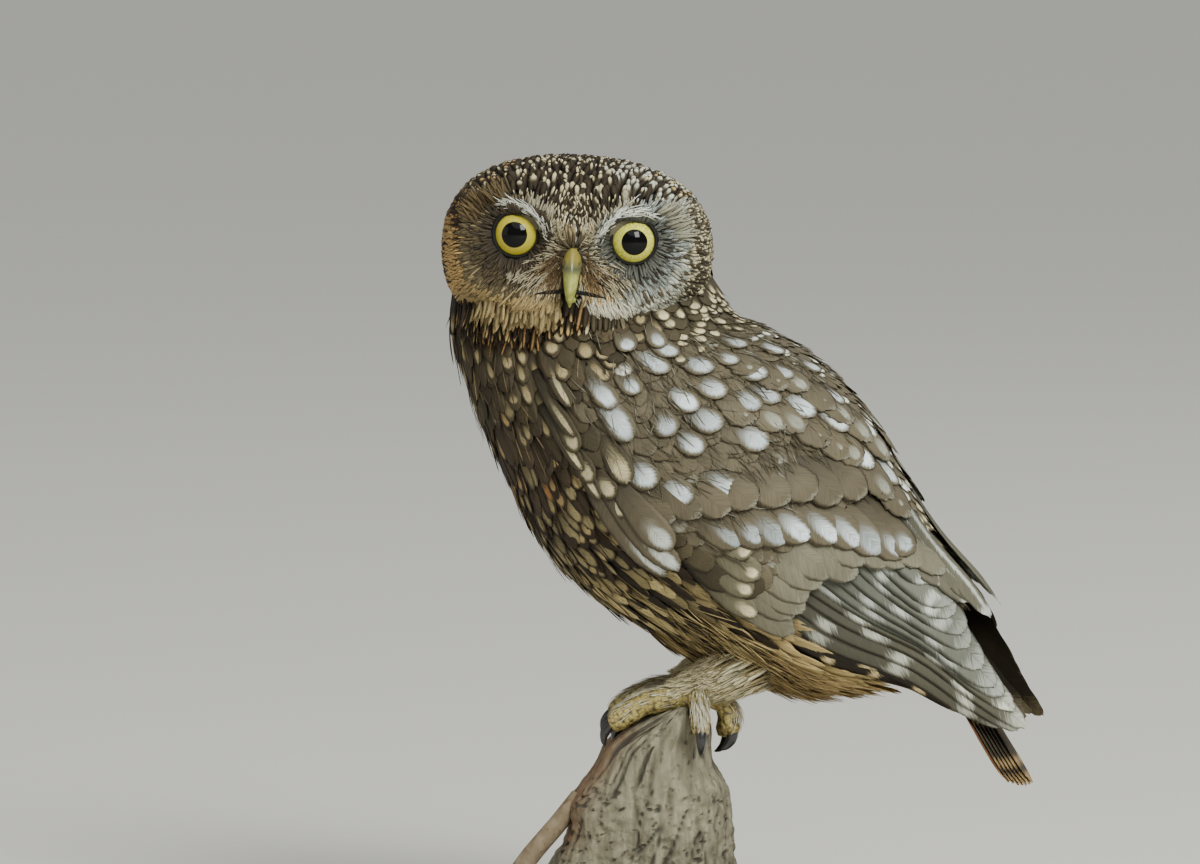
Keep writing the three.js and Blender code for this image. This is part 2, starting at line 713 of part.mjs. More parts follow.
function toePath(side, reach) {
  return reach.map(([u, v, z]) => turned(FOOT_MIDDLE.u + u, side * (FOOT_SPREAD - v), FOOT_MIDDLE.z + z));
}

function toeSolid(side, { reach, thick }, grow = 0) {
  const shares = [0, 0.2, 0.4, 0.6, 0.8, 0.94, 1];
  const stations = shares.map((share) => {
    const end = 1 - 4.2 * Math.max(0, share - 0.9);
    const radius = thick * mix(1, 0.82, share) * end;
    return [share, radius + grow, radius + grow];
  });
  const path = toePath(side, reach);
  const out = path[3].clone().sub(path[0]).setZ(0);
  const across = new THREE.Vector3(0, 0, 1).cross(out).normalize();
  return taperedTube(path, stations, 8, across);
}

function palmSolid(side, grow) {
  const palm = new THREE.SphereGeometry(1, 10, 7).scale(5.6 + grow, 5 + grow, 3.9 + grow);
  return solidOf(palm.translate(...turned(FOOT_MIDDLE.u, side * FOOT_SPREAD, FOOT_MIDDLE.z)));
}

function footSolid(side, obstacles) {
  let foot = joined([palmSolid(side, 0), ...toesOf(side).map((toe) => toeSolid(side, toe))]);
  obstacles.forEach((obstacle) => {
    foot = foot.subtract(obstacle);
  });
  return largest(foot);
}

// A claw carries on from its toe and hooks down and back.
function clawSolid(side, { reach, thick }, grow) {
  const toe = new THREE.CatmullRomCurve3(toePath(side, reach));
  const start = toe.getPointAt(0.93);
  const ahead = toe.getTangentAt(1);
  const flat = new THREE.Vector3(ahead.x, ahead.y, 0).normalize();
  if (reach[3][0] < reach[2][0] && reach[2][0] > 0) flat.negate();
  const across = new THREE.Vector3(0, 0, 1).cross(flat).normalize();
  const radius = 0.6 * CLAW_LENGTH;
  const begin = Math.atan2(-ahead.z, ahead.dot(flat)) - 0.3;
  const raised = start.clone().addScaledVector(flat, 0.3 * thick);
  const path = [0, 0.34, 0.67, 1].map((share) => {
    const turn = begin + 1.35 * share;
    const p = raised.clone().addScaledVector(flat, radius * (Math.sin(turn) - Math.sin(begin)));
    p.z -= radius * (Math.cos(begin) - Math.cos(turn));
    return p;
  });
  const stations = [[0, 1.5], [0.4, 1.3], [0.8, 0.7], [1, 0.2]].map(([share, r]) => [
    share,
    r + grow,
    1.1 * r + grow,
  ]);
  return taperedTube(path, stations, 7, across);
}

// Stand
function baseSolid() {
  const [l, w, r] = [BASE.length / 2, BASE.width / 2, BASE.corner];
  const outline = new THREE.Shape();
  outline.moveTo(-l + r, -w);
  outline.lineTo(l - r, -w).absarc(l - r, -w + r, r, -Math.PI / 2, 0);
  outline.lineTo(l, w - r).absarc(l - r, w - r, r, 0, Math.PI / 2);
  outline.lineTo(-l + r, w).absarc(-l + r, w - r, r, Math.PI / 2, Math.PI);
  outline.lineTo(-l, -w + r).absarc(-l + r, -w + r, r, Math.PI, 1.5 * Math.PI);
  const bevel = BASE.bevel;
  const plate = new THREE.ExtrudeGeometry(outline, {
    depth: BASE.height - bevel,
    bevelThickness: bevel,
    bevelSize: bevel,
    bevelOffset: -bevel,
    bevelSegments: 1,
    curveSegments: 5,
  });
  return solidOf(plate).trimByPlane([0, 0, 1], 0);
}

function rodSolid({ x, y }) {
  const [low, high] = [BASE.height + GAP, PERCH_BOTTOM - GAP];
  const rod = new THREE.CylinderGeometry(ROD_RADIUS, ROD_RADIUS, high - low, 20);
  return solidOf(rod.rotateX(Math.PI / 2).translate(x, y, (low + high) / 2));
}

// Materials
const finish = (color, roughness, metalness = 0) =>
  new THREE.MeshStandardMaterial({ color, roughness, metalness, flatShading: true });
const plumage = finish(0x6b5d4b, 0.9);
const wingPlumage = finish(0x62584a, 0.85);
const facePlumage = finish(0x84796a, 0.9);
const legPlumage = finish(0xb5a98c, 0.9);
const toeSkin = finish(0xb59a45, 0.7);
const billHorn = finish(0xa9ab3a, 0.35);
const eyeGloss = finish(0xd8cf2e, 0.1);
const clawHorn = finish(0x17150f, 0.35);
const weatheredWood = finish(0x8d877b, 0.95);
const standWood = finish(0x3a2b20, 0.5);
const standSteel = finish(0xb9bbbd, 0.3, 1);

// Assembly
const owl = new THREE.Group();

function addNode(name, solid, material, parent = owl, pivot = [0, 0, 0]) {
  const geometry = geometryOf(solid).translate(-pivot[0], -pivot[1], -pivot[2]);
  const mesh = new THREE.Mesh(geometry, material);
  mesh.name = name;
  mesh.position.set(...pivot);
  parent.add(mesh);
}

const SIDES = [["left", -1], ["right", 1]];
owl.add(headGroup);

const inHead = (solid) => solidOf(geometryOf(solid).applyMatrix4(headGroup.matrixWorld));
const upperBill = billSolid(0).subtract(nostrilSolid(-1)).subtract(nostrilSolid(1));
const lowerBill = largest(lowerBillSolid(0).subtract(billSolid(GAP)));
let head = joined([headSolid(0), lidSolid(-1), lidSolid(1)]);
[billSolid(GAP), lowerBillSolid(GAP), gapeSolid(), eyeSolid(-1, GAP), eyeSolid(1, GAP)].forEach((cut) => {
  head = head.subtract(cut);
});
addNode("head", largest(head), facePlumage, headGroup);
addNode("bill_upper", upperBill, billHorn, headGroup);
addNode("bill_lower", lowerBill, billHorn, headGroup);
addNode("eye_left", eyeSolid(1, 0), eyeGloss, headGroup);
addNode("eye_right", eyeSolid(-1, 0), eyeGloss, headGroup);

const grownHead = inHead(headSolid(NECK_GAP, 14));
const wholeBody = bodySolid(0).subtract(grownHead);
const [neckX, , neckZ, neckLean] = envelopeAt(NECK_END);
const neckUp = [-Math.sin(neckLean * DEGREE), 0, Math.cos(neckLean * DEGREE)];
const neckOffset = neckUp[0] * neckX + neckUp[2] * neckZ;
const neck = largest(wholeBody.trimByPlane(neckUp, neckOffset + GAP / 2));
const torso = largest(
  wholeBody.trimByPlane(neckUp.map((n) => -n), -neckOffset + GAP / 2),
);
addNode("neck", neck, plumage, owl, [neckX, 0, neckZ]);

const grownBody = bodySolid(GAP);
const grownPerch = perchSolid(GAP);
SIDES.forEach(([name, side]) => {
  const toes = toesOf(side);
  const grownClaws = toes.map((toe) => clawSolid(side, toe, GAP));
  addNode(`foot_${name}`, footSolid(side, [grownPerch, ...grownClaws]), toeSkin);
  toes.forEach((toe) => {
    addNode(`claw_${name}_${toe.name}`, largest(clawSolid(side, toe, 0).subtract(grownPerch)), clawHorn);
  });
  let leg = legSolid(side, 0).subtract(grownBody).subtract(grownPerch).subtract(palmSolid(side, GAP));
  toes.forEach((toe) => {
    leg = leg.subtract(toeSolid(side, toe, GAP));
  });
  addNode(`leg_${name}`, largest(leg), legPlumage);
});
addNode("torso", torso, plumage);

SIDES.forEach(([name, side]) => {
  addNode(`wing_${name}`, wingSolid(side, [grownBody, grownHead]), wingPlumage);
});
addNode("tail", tailSolid([grownBody]), wingPlumage);

addNode("perch", perchSolid(0), weatheredWood);
ROD_PLACES.forEach((place, i) => addNode(`stand_rod_${i + 1}`, rodSolid(place), standSteel));
addNode("stand_base", baseSolid(), standWood);

export default owl;
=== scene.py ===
import math

import bpy
import numpy as np
from mathutils import Matrix, Vector, noise


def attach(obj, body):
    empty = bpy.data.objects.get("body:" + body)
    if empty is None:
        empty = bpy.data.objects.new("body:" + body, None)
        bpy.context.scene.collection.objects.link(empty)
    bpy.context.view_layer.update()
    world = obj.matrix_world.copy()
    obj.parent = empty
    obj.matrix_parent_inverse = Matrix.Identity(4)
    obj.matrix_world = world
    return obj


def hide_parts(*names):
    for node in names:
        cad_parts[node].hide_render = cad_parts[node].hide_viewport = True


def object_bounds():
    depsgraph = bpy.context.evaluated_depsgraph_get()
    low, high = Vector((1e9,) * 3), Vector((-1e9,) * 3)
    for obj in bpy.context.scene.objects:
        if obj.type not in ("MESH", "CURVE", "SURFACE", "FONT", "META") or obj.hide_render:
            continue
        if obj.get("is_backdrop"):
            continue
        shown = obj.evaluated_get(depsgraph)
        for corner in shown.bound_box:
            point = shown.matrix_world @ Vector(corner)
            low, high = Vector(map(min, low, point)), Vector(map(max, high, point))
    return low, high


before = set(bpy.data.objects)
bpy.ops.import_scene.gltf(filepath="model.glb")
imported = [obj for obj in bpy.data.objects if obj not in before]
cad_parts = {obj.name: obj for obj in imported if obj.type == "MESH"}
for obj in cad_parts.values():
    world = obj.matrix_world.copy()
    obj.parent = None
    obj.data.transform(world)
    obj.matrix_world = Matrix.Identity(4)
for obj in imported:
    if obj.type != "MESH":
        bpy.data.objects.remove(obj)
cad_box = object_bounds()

# The view
# The model stands on a plain pale floor in the soft light of a studio. The camera is far off with a
# long lens, a little above the bird, at the photograph's angle.
MM = 0.001
TARGET = Vector((-25, 0, 140)) * MM
CAMERA_LENS = 400
CAMERA_REACH = 60
FLOOR_REACH = 14000
FLOOR_PAINT = (212, 209, 202)
# azimuth, elevation and distance from the target
CAMERA_PLACE = (12, 5, 3.6)
DAYLIGHT_PLACE = (25, 62, 3)
# the same, then width, height, power and colour
LAMPS = {
    "window": (38, 36, 1.7, 0.62, 0.8, 35, (0.96, 1.0, 0.96)),
    "left_fill": (-60, 14, 2.2, 1.3, 1.3, 5, (1.0, 0.92, 0.8)),
    "rim": (150, 40, 1.8, 1.0, 1.0, 7, (0.98, 1.0, 0.96)),
}
DAYLIGHT_SPREAD = 70
DAYLIGHT_STRENGTH = 1.5
DAYLIGHT_COLOUR = (0.97, 1.0, 0.94)
AIR_COLOUR = (0.9, 0.93, 1.0, 1)
AIR_STRENGTH = 0.26


def tone(red, green, blue):
    """A colour as the eye names it, from 0 to 255, in the linear light that the shaders use."""
    shares = np.array([red, green, blue]) / 255
    return np.where(shares < 0.04, shares / 12.92, ((shares + 0.055) / 1.055) ** 2.4)


def aimed(name, data, azimuth, elevation, distance):
    """A camera or lamp at that azimuth and elevation from the target, turned towards it."""
    a, e = math.radians(azimuth), math.radians(elevation)
    way = Vector((math.sin(a) * math.cos(e), -math.cos(a) * math.cos(e), math.sin(e)))
    item = bpy.data.objects.new(name, data)
    item.location = TARGET + way * distance
    item.rotation_euler = (-way).to_track_quat("-Z", "Y").to_euler()
    bpy.context.scene.collection.objects.link(item)
    return item


camera = bpy.data.cameras.new("camera")
camera.lens = CAMERA_LENS
camera.clip_end = CAMERA_REACH
bpy.context.scene.camera = aimed("camera", camera, *CAMERA_PLACE)
for name, (azimuth, elevation, distance, width, height, power, colour) in LAMPS.items():
    lamp = bpy.data.lights.new(name, "AREA")
    lamp.shape = "RECTANGLE"
    lamp.size = width
    lamp.size_y = height
    lamp.energy = power
    lamp.color = colour
    aimed(name, lamp, azimuth, elevation, distance)
lamp = bpy.data.lights.new("daylight", "SUN")
lamp.angle = math.radians(DAYLIGHT_SPREAD)
lamp.energy = DAYLIGHT_STRENGTH
lamp.color = DAYLIGHT_COLOUR
aimed("daylight", lamp, *DAYLIGHT_PLACE)
world = bpy.data.worlds.new("studio")
world.use_nodes = True
air = world.node_tree.nodes["Background"]
air.inputs["Color"].default_value = AIR_COLOUR
air.inputs["Strength"].default_value = AIR_STRENGTH
bpy.context.scene.world = world


def mesh_object(name, places, sides, corners):
    """A smooth mesh object from places in millimetres and faces given by their sizes and corners."""
    mesh = bpy.data.meshes.new(name)
    places = np.asarray(places, float).reshape(-1, 3) * MM
    sides = np.asarray(sides, np.int32)
    mesh.vertices.add(len(places))
    mesh.vertices.foreach_set("co", places.ravel())
    mesh.loops.add(len(corners))
    mesh.loops.foreach_set("vertex_index", np.asarray(corners, np.int32))
    mesh.polygons.add(len(sides))
    mesh.polygons.foreach_set("loop_start", np.concatenate([[0], np.cumsum(sides)[:-1]]).astype(np.int32))
    mesh.update(calc_edges=True)
    mesh.validate()
    mesh.polygons.foreach_set("use_smooth", np.full(len(sides), True))
    made = bpy.data.objects.new(name, mesh)
    bpy.context.scene.collection.objects.link(made)
    return made


def new_material(name, roughness, **settings):
    """A material, its tree and its Principled shader."""
    material = bpy.data.materials.new(name)
    material.use_nodes = True
    shader = material.node_tree.nodes["Principled BSDF"]
    shader.inputs["Roughness"].default_value = roughness
    for socket, value in settings.items():
        shader.inputs[socket.replace("_", " ")].default_value = value
    return material, material.node_tree, shader


square = np.array([(-1, -1, 0), (1, -1, 0), (1, 1, 0), (-1, 1, 0)])
floor = mesh_object("floor", square * FLOOR_REACH, [4], range(4))
floor_paint, _, floor_shader = new_material("floor_paint", 0.8)
floor_shader.inputs["Base Color"].default_value = (*tone(*FLOOR_PAINT), 1)
floor.data.materials.append(floor_paint)
floor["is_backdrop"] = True

# The skin
# One closed skin under the whole coat of feathers, from the crown to the vent and down both shanks, in
# the colours of the plumage over it. It lies deeper than the feathers' roots show.
# x, y, z of the body's middle, lean of the back in degrees, half height, half width
ENVELOPE = [
    (-31.5, 3, 183, 2, 36, 26),
    (-29.3, 2, 172, 7, 38, 29),
    (-24, 0.5, 160, 18, 38.3, 35.5),
    (-14.5, 0, 147.3, 30, 41.3, 40.5),
    (-4.7, 0, 135.3, 38, 44.7, 43),
    (7.5, 0, 124.5, 43, 44.5, 43),
    (21, 0, 114, 46, 41, 40.5),
    (34.8, 0, 103, 48, 35, 35.5),
    (49, 0, 92, 50, 28.5, 28.5),
    (67, 0, 83, 52, 19.5, 21),
    (80, 0, 72.5, 54, 13.5, 15),
    (91.5, 0, 63, 56, 8.5, 10.5),
    (98, 0, 57.5, 57, 6, 8),
]
SHUT_FROM = 112
SHUT_OVER = 28
RUMP_DROP = 5.5
SKIN_DEPTH = 2.3
SKIN_VOXEL = 0.9
HEAD_PLACE = np.array([-30.2, -5, 190])
HEAD_TURN = 9.5
HEAD_ROLL = 3.4
HEAD_HALVES = {"across": 36.3, "front": 25, "back": 31, "top": 24.5, "bottom": 27}
HEAD_SQUARENESS = 2.35
EYE_APART = 30.2
EYE_RISE = 4.3
PERCH_TURN = 12
PERCH_X = -2
LEG_RADII = [(0, 11, 12), (0.25, 9.5, 10.5), (0.5, 7.6, 8), (0.75, 5.8, 6), (0.93, 4.6, 4.4), (1, 3.4, 3)]
LEG_SKIN_DEPTH = 1.6


def smooth_rows(rows):
    """A smooth curve through rows of (place, value, ...), as a function of an array of places."""
    rows = np.array(rows, float)
    ahead = np.vstack([rows[1:], rows[-1:]])
    behind = np.vstack([rows[:1], rows[:-1]])
    slopes = (ahead - behind) / (ahead[:, :1] - behind[:, :1])

    def at(places):
        places = np.asarray(places, float)
        i = np.clip(np.searchsorted(rows[:, 0], places) - 1, 0, len(rows) - 2)
        a, rise = rows[i], rows[i + 1] - rows[i]
        gap = rise[..., :1]
        t = np.clip((places[..., None] - a[..., :1]) / gap, 0, 1)
        bend = (1 - t) * (slopes[i] * gap - rise) + t * (rise - slopes[i + 1] * gap)
        return (a + t * rise + t * (1 - t) * bend)[..., 1:]

    return at


def mix(a, b, t):
    return a + (b - a) * t


def step(value, low, high):
    t = np.clip((value - low) / (high - low), 0, 1)
    return t * t * (3 - 2 * t)


def bell(distance, radius):
    return np.exp(-((distance / radius) ** 2))


def unit(vectors):
    return vectors / np.linalg.norm(vectors, axis=-1, keepdims=True)


def each(values):
    """One value for each vane, ready to meet the rows and columns of its points."""
    return values[:, None, None]


def whole_turn(count):
    return np.linspace(0, 2 * np.pi, count, endpoint=False)


middles = np.array(ENVELOPE, float)
walked = np.hypot(*np.diff(middles[:, [0, 2]], axis=0).T)
envelope_at = smooth_rows(np.column_stack([np.concatenate([[0], np.cumsum(walked)]), middles]))


def on_body(along, around, lift, shrink=1.0):
    """Points on the body: around is 0 at the back, 90 at the bird's right flank, 180 at the belly."""
    x, y, z, lean, height, width = np.moveaxis(envelope_at(along), -1, 0)
    up = (height + lift) * shrink * np.cos(np.radians(around))
    out = (width + lift) * shrink * np.sin(np.radians(around))
    leaned = np.radians(lean)
    return np.stack([x + up * np.cos(leaned), y + out, z + up * np.sin(leaned)], -1)


def degree_length(along, around):
    """Millimetres of surface for each degree around the body."""
    height, width = np.moveaxis(envelope_at(along), -1, 0)[4:]
    turn = np.radians(around)
    return np.hypot(height * np.sin(turn), width * np.cos(turn)) * np.radians(1)


def rump_depth(along, around):
    """How deep the rump lies under the envelope, between the wings."""
    return RUMP_DROP * (1 - step(np.abs(around), 95, 130)) * step(along, 112, 138)


def place_on_body(points):
    """The along, around and share of the envelope's radius of points near the body."""
    alongs = np.arange(0, 186, 0.5)
    x, y, z, lean, height, width = envelope_at(alongs).T
    leaned = np.radians(lean)
    off = (points[:, :1] - x) * -np.sin(leaned) + (points[:, 2:] - z) * np.cos(leaned)
    k = np.argmin(np.abs(off), axis=1)
    up = (points[:, 0] - x[k]) * np.cos(leaned[k]) + (points[:, 2] - z[k]) * np.sin(leaned[k])
    out = points[:, 1] - y[k]
    around = np.degrees(np.arctan2(out / width[k], up / height[k]))
    return alongs[k], around, np.hypot(up / height[k], out / width[k])


def line_distance(x, z, start, end):
    """Distance in the face's plane from the line between two points."""
    dx, dz = end[0] - start[0], end[1] - start[1]
    t = np.clip(((x - start[0]) * dx + (z - start[1]) * dz) / (dx * dx + dz * dz), 0, 1)
    return np.hypot(x - start[0] - t * dx, z - start[1] - t * dz)


def eye_distance(x, z):
    """Distance in the face's plane from the nearer eye's middle."""
    return np.hypot(np.abs(x) - EYE_APART / 2, z - EYE_RISE)


def face_relief(x, z):
    """How far the face's forms stand out: discs, brows, rims, the bill's root and the chin."""
    side = np.abs(x)
    eye = eye_distance(x, z)
    disc = -2.6 * bell(eye, 10)
    brow = 3.0 * bell(line_distance(side, z, (5, 8), (24, 15)), 3.4)
    rim = 1.6 * bell(eye - 18.5, 3) * step(side - z, 6, 22)
    root = 3.2 * bell(line_distance(side, z, (0, -4), (0, 6)), 4.2)
    chin = 2.2 * bell(line_distance(side, z, (4, -16.5), (11, -16)), 5)
    return disc + brow + rim + root + chin


def on_head(ways, lift=None):
    """Points on the head, in its own frame, in the given ways from its middle."""
    ways = unit(ways)
    x, y, z = np.moveaxis(ways, -1, 0)
    across = np.abs(x) / HEAD_HALVES["across"]
    deep = np.abs(y) / np.where(y < 0, HEAD_HALVES["front"], HEAD_HALVES["back"])
    high = np.abs(z) / np.where(z > 0, HEAD_HALVES["top"], HEAD_HALVES["bottom"])
    power = HEAD_SQUARENESS
    radius = (across**power + deep**power + high**power) ** (-1 / power)
    points = ways * radius[..., None]
    points[..., 1] -= face_relief(points[..., 0], points[..., 2]) * step(-y, 0.1, 0.6)
    lift = np.zeros(x.shape) if lift is None else np.asarray(lift, float)
    return points + ways * lift[..., None]


head_matrix = Matrix.Translation(Vector(HEAD_PLACE)) @ (
    Matrix.Rotation(math.radians(HEAD_TURN), 4, "Z") @ Matrix.Rotation(math.radians(HEAD_ROLL), 4, "Y")
)
HEAD_AXES = np.array(head_matrix.to_3x3())


def head_to_world(points):
    return points @ HEAD_AXES.T + HEAD_PLACE


def loft(sections):
    """Places, face sizes and corners of a closed skin over rows of points, fanned over at both ends."""
    sections = np.asarray(sections, float)
    rows, count = sections.shape[:2]
    ends = sections[[0, -1]].mean(axis=1)
    k = np.arange(count)
    after = (k + 1) % count
    starts = (np.arange(rows - 1) * count)[:, None]
    quads = np.stack([starts + k, starts + after, starts + count + after, starts + count + k], -1)
    last = (rows - 1) * count
    low = np.stack([np.full(count, rows * count), after, k], -1)
    high = np.stack([np.full(count, rows * count + 1), last + k, last + after], -1)
    sides = [4] * ((rows - 1) * count) + [3] * (2 * count)
    corners = np.concatenate([quads.ravel(), low.ravel(), high.ravel()])
    return np.vstack([sections.reshape(-1, 3), ends]), sides, corners


def lofted(name, *parts):
    """One mesh object of the closed skins over some sets of rows."""
    places, sides, corners, base = [], [], [], 0
    for own_places, own_sides, own_corners in map(loft, parts):
        places.append(own_places)
        sides.extend(own_sides)
        corners.append(own_corners + base)
        base += len(own_places)
    return mesh_object(name, np.vstack(places), sides, np.concatenate(corners))


def curve_along(path):
    """A smooth curve through a path's points, as a function of shares of its length, and that length."""
    path = np.array(path, float)
    far = np.concatenate([[0], np.cumsum(np.linalg.norm(np.diff(path, axis=0), axis=1))])
    return smooth_rows(np.column_stack([far / far[-1], path])), far[-1]


def tube_frame(path, across, shares, gap):
    """The middles of a tube at shares of its path, and the ways ahead, sideways and down there."""
    along, _ = curve_along(path)
    ahead = unit(along(np.minimum(shares + gap, 1)) - along(np.maximum(shares - gap, 0)))
    down = unit(np.cross(ahead, np.array(across, float)))
    return along(shares), ahead, np.cross(down, ahead), down


def sweep(path, radii, sides, across, steps=0):
    """Sections of a tapered tube along a path. radii holds (share, half width, half depth)."""
    radii = np.array(radii, float)
    shares = np.linspace(0, 1, steps) if steps else radii[:, 0]
    middles, _, sideways, down = tube_frame(path, across, shares, 0.01)
    wide, deep = (np.interp(shares, radii[:, 0], radii[:, k])[:, None] for k in (1, 2))
    turn = whole_turn(sides)
    ring = sideways[:, None] * (wide * np.cos(turn))[..., None]
    ring = ring + down[:, None] * (deep * np.sin(turn))[..., None]
    return middles[:, None] + ring


def turned(u, v, z):
    """A point in the perch's own frame, which is turned about its middle."""
    c, s = math.cos(math.radians(PERCH_TURN)), math.sin(math.radians(PERCH_TURN))
    return np.stack([PERCH_X + u * c - v * s, u * s + v * c, z + 0 * u], -1)


def leg_path(side):
    knee = turned(np.array(7.5), side * 14, 74.6)
    ankle = turned(np.array(-1), side * 13.5, 71.8)
    return [(30, side * 14, 87), (17, side * 14, 79), tuple(knee), tuple(ankle)]


def skin_of_body():
    alongs = np.concatenate([np.arange(0, 110, 4), np.arange(110, 139, 2.5), [139.6]])
    arounds = np.linspace(-180, 180, 72, endpoint=False)
    along, around = np.meshgrid(alongs, arounds, indexing="ij")
    a = np.abs(around)
    flights = 2.4 * step(a, 6, 24) * (1 - step(a, 112, 124)) * step(along, 84, 112)
    shut = np.clip((along - SHUT_FROM) / SHUT_OVER, 0, 1)
    shrink = np.sqrt(1 - shut**2) * mix(0.84, 1, np.minimum(1, along / 7) ** 0.6)
    return on_body(along, around, -SKIN_DEPTH - flights - rump_depth(along, around), shrink)


def skin_of_head():
    tilt = np.linspace(0.02, np.pi - 0.02, 44)[:, None]
    turn = whole_turn(64)[None]
    ways = np.stack([np.sin(tilt) * np.sin(turn), -np.sin(tilt) * np.cos(turn), np.cos(tilt) + 0 * turn], -1)
    return head_to_world(on_head(ways, np.full(ways.shape[:2], -1.5)))


def skin_of_leg(side):
    radii = [(share, wide - LEG_SKIN_DEPTH, deep - LEG_SKIN_DEPTH) for share, wide, deep in LEG_RADII]
    return sweep(leg_path(side), radii, 20, (0, 1, 0), 16)


def grown_together(item, voxel, rounds):
    """Makes one closed skin of an object's parts, and softens it."""
    remesh = item.modifiers.new("one_skin", "REMESH")
    remesh.mode = "VOXEL"
    remesh.voxel_size = voxel * MM
    remesh.use_smooth_shade = True
    item.modifiers.new("relax", "SMOOTH").iterations = rounds
    settled = bpy.data.meshes.new_from_object(item.evaluated_get(bpy.context.evaluated_depsgraph_get()))
    item.modifiers.clear()
    item.data = settled


def put(item, name, values):
    """Numbers, vectors or colours at the points of an object's mesh, for its material."""
    values = np.asarray(values, np.float32)
    width = values.shape[1] if values.ndim > 1 else 1
    kind, key = {1: ("FLOAT", "value"), 3: ("FLOAT_VECTOR", "vector"), 4: ("FLOAT_COLOR", "color")}[width]
    item.data.attributes.new(name, kind, "POINT").data.foreach_set(key, values.ravel())


def opaque(colours):
    return np.column_stack([colours, np.ones(len(colours))])


def points_of(item):
    """The points of an object's mesh, in millimetres."""
    places = np.empty(len(item.data.vertices) * 3)
    item.data.vertices.foreach_get("co", places)
    return places.reshape(-1, 3) / MM


def keep(item, material, slot, *replaced):
    """Gives a finished piece its material, its body and the solids that it replaces. The slot is not used."""
    item.data.materials.append(material)
    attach(item, "root")
    if replaced:
        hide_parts(*replaced)


skin = lofted("skin", skin_of_body(), skin_of_head(), skin_of_leg(-1), skin_of_leg(1))
grown_together(skin, SKIN_VOXEL, 3)

# The plumage's colours
# Every feather has a ground colour and a mark colour, and marks of four kinds: a spot near the tip, a
# streak along the shaft, bars on the outer web and a rim. Feathers and skin take them from their place.
rng = np.random.default_rng(3)
NO_SPOT = (0.8, 0.001, 0.001)  # centre along the vane, half size across and along
PLAIN = (-1, 0, 0)  # half width of the streak, number of bars, strength of the rim
STRIPE_GAP = 9.6  # degrees between the dark lines of the lower belly
OLIVE = (93, 84, 65)
OLIVE_DARK = (68, 60, 42)
CROWN = (50, 40, 25)
UMBER = (46, 34, 19)
BUFF = (178, 150, 96)
STRAW = (184, 165, 114)
CREAM = (212, 198, 156)
CHALK = (232, 232, 218)
FROST = (216, 226, 226)
GREY = (140, 138, 122)
TAWNY = (148, 112, 64)
NECK = (62, 53, 36)


def look(count, ground, mark=CHALK, spot=NO_SPOT, trait=PLAIN, vary=0.07):
    """The colours and marks of a number of feathers that are alike, apart from small differences."""
    shade = 1 + vary * rng.normal(0, 1, (count, 1))
    spread = 1 + 0.14 * rng.normal(0, 1, (count, 2))
    spots = np.tile(np.array(spot, float), (count, 1))
    spots[:, 1:] *= spread
    return {
        "ground": np.clip(tone(*ground) * shade, 0.004, 0.9),
        "mark": np.clip(tone(*mark) * (1 + 0.08 * rng.normal(0, 1, (count, 1))), 0.004, 0.9),
        "spot": spots,
        "trait": np.tile(np.array(trait, float), (count, 1)),
    }


def chance(share, count):
    return rng.random(count) < share


def dress(looks, where, share, *choice, **more):
    """Gives a share of the feathers named by where another look."""
    count = len(looks["ground"])
    if share < 1:
        where = where & chance(share, count)
    other = look(count, *choice, **more)
    for key, values in other.items():
        looks[key][where] = values[where]


def on_stripe(along, around):
    """Which places are on the dark lines that run back along the belly."""
    return np.abs((np.abs(around) - 112 - 0.06 * along) % STRIPE_GAP - STRIPE_GAP / 2) < 2.2


def body_look(along, around):
    """What the body's feathers look like, from the nape to the vent."""
    n = len(along)
    a = np.abs(around) + rng.normal(0, 2, n)
    s = along + rng.normal(0, 4, n)
    stripe = on_stripe(along, around)
    looks = look(n, OLIVE, CHALK)
    dress(looks, True, 0.3, OLIVE, CHALK, (0.8, 0.5, 0.16))
    front = a > 97
    dress(looks, front, 1, (60, 49, 34), vary=0.2)
    dress(looks, front, 0.35, UMBER, (158, 134, 88), (0.74, 0.42, 0.16))
    dress(looks, front, 0.25, OLIVE_DARK, (124, 112, 78), (0.7, 0.5, 0.24))
    dress(looks, front, 0.08, OLIVE_DARK, (146, 104, 58), (0.74, 0.4, 0.2))
    flank = front & (s > 40)
    dress(looks, flank, 1, UMBER, (136, 124, 88), (0.7, 0.55, 0.26), vary=0.2)
    dress(looks, flank, 0.2, UMBER, vary=0.15)
    dress(looks, flank, 0.25, UMBER, (160, 142, 98), (0.76, 0.5, 0.16))
    striped = front & (s > 62 + 0.12 * (150 - a))
    dress(looks, striped, 1, STRAW, OLIVE, trait=(0.1, 0, 0), vary=0.08)
    dress(looks, striped & (s < 90), 0.4, (128, 114, 78), vary=0.15)
    dress(looks, striped & (a < 124), 1, (144, 127, 86), vary=0.12)
    dress(looks, striped & stripe, 1, (42, 32, 20), vary=0.12)
    vent = front & (s > 104)
    dress(looks, vent, 1, (170, 146, 98), STRAW, trait=(0.3, 0, 0), vary=0.07)
    dress(looks, vent & stripe & (s < 116), 0.5, (104, 88, 58), vary=0.15)
    neck = (s < 26) & (a > 55)
    dress(looks, neck, 1, NECK, vary=0.2)
    dress(looks, neck, 0.35, NECK, (160, 144, 104), (0.76, 0.42, 0.16))
    nape = (s < 30) & (a <= 55)
    dress(looks, nape, 1, OLIVE_DARK)
    dress(looks, nape, 0.5, OLIVE_DARK, CREAM, (0.78, 0.42, 0.16))
    dress(looks, (a < 95) & (s > 104), 1, OLIVE, CREAM, (0.78, 0.5, 0.12))
    return looks


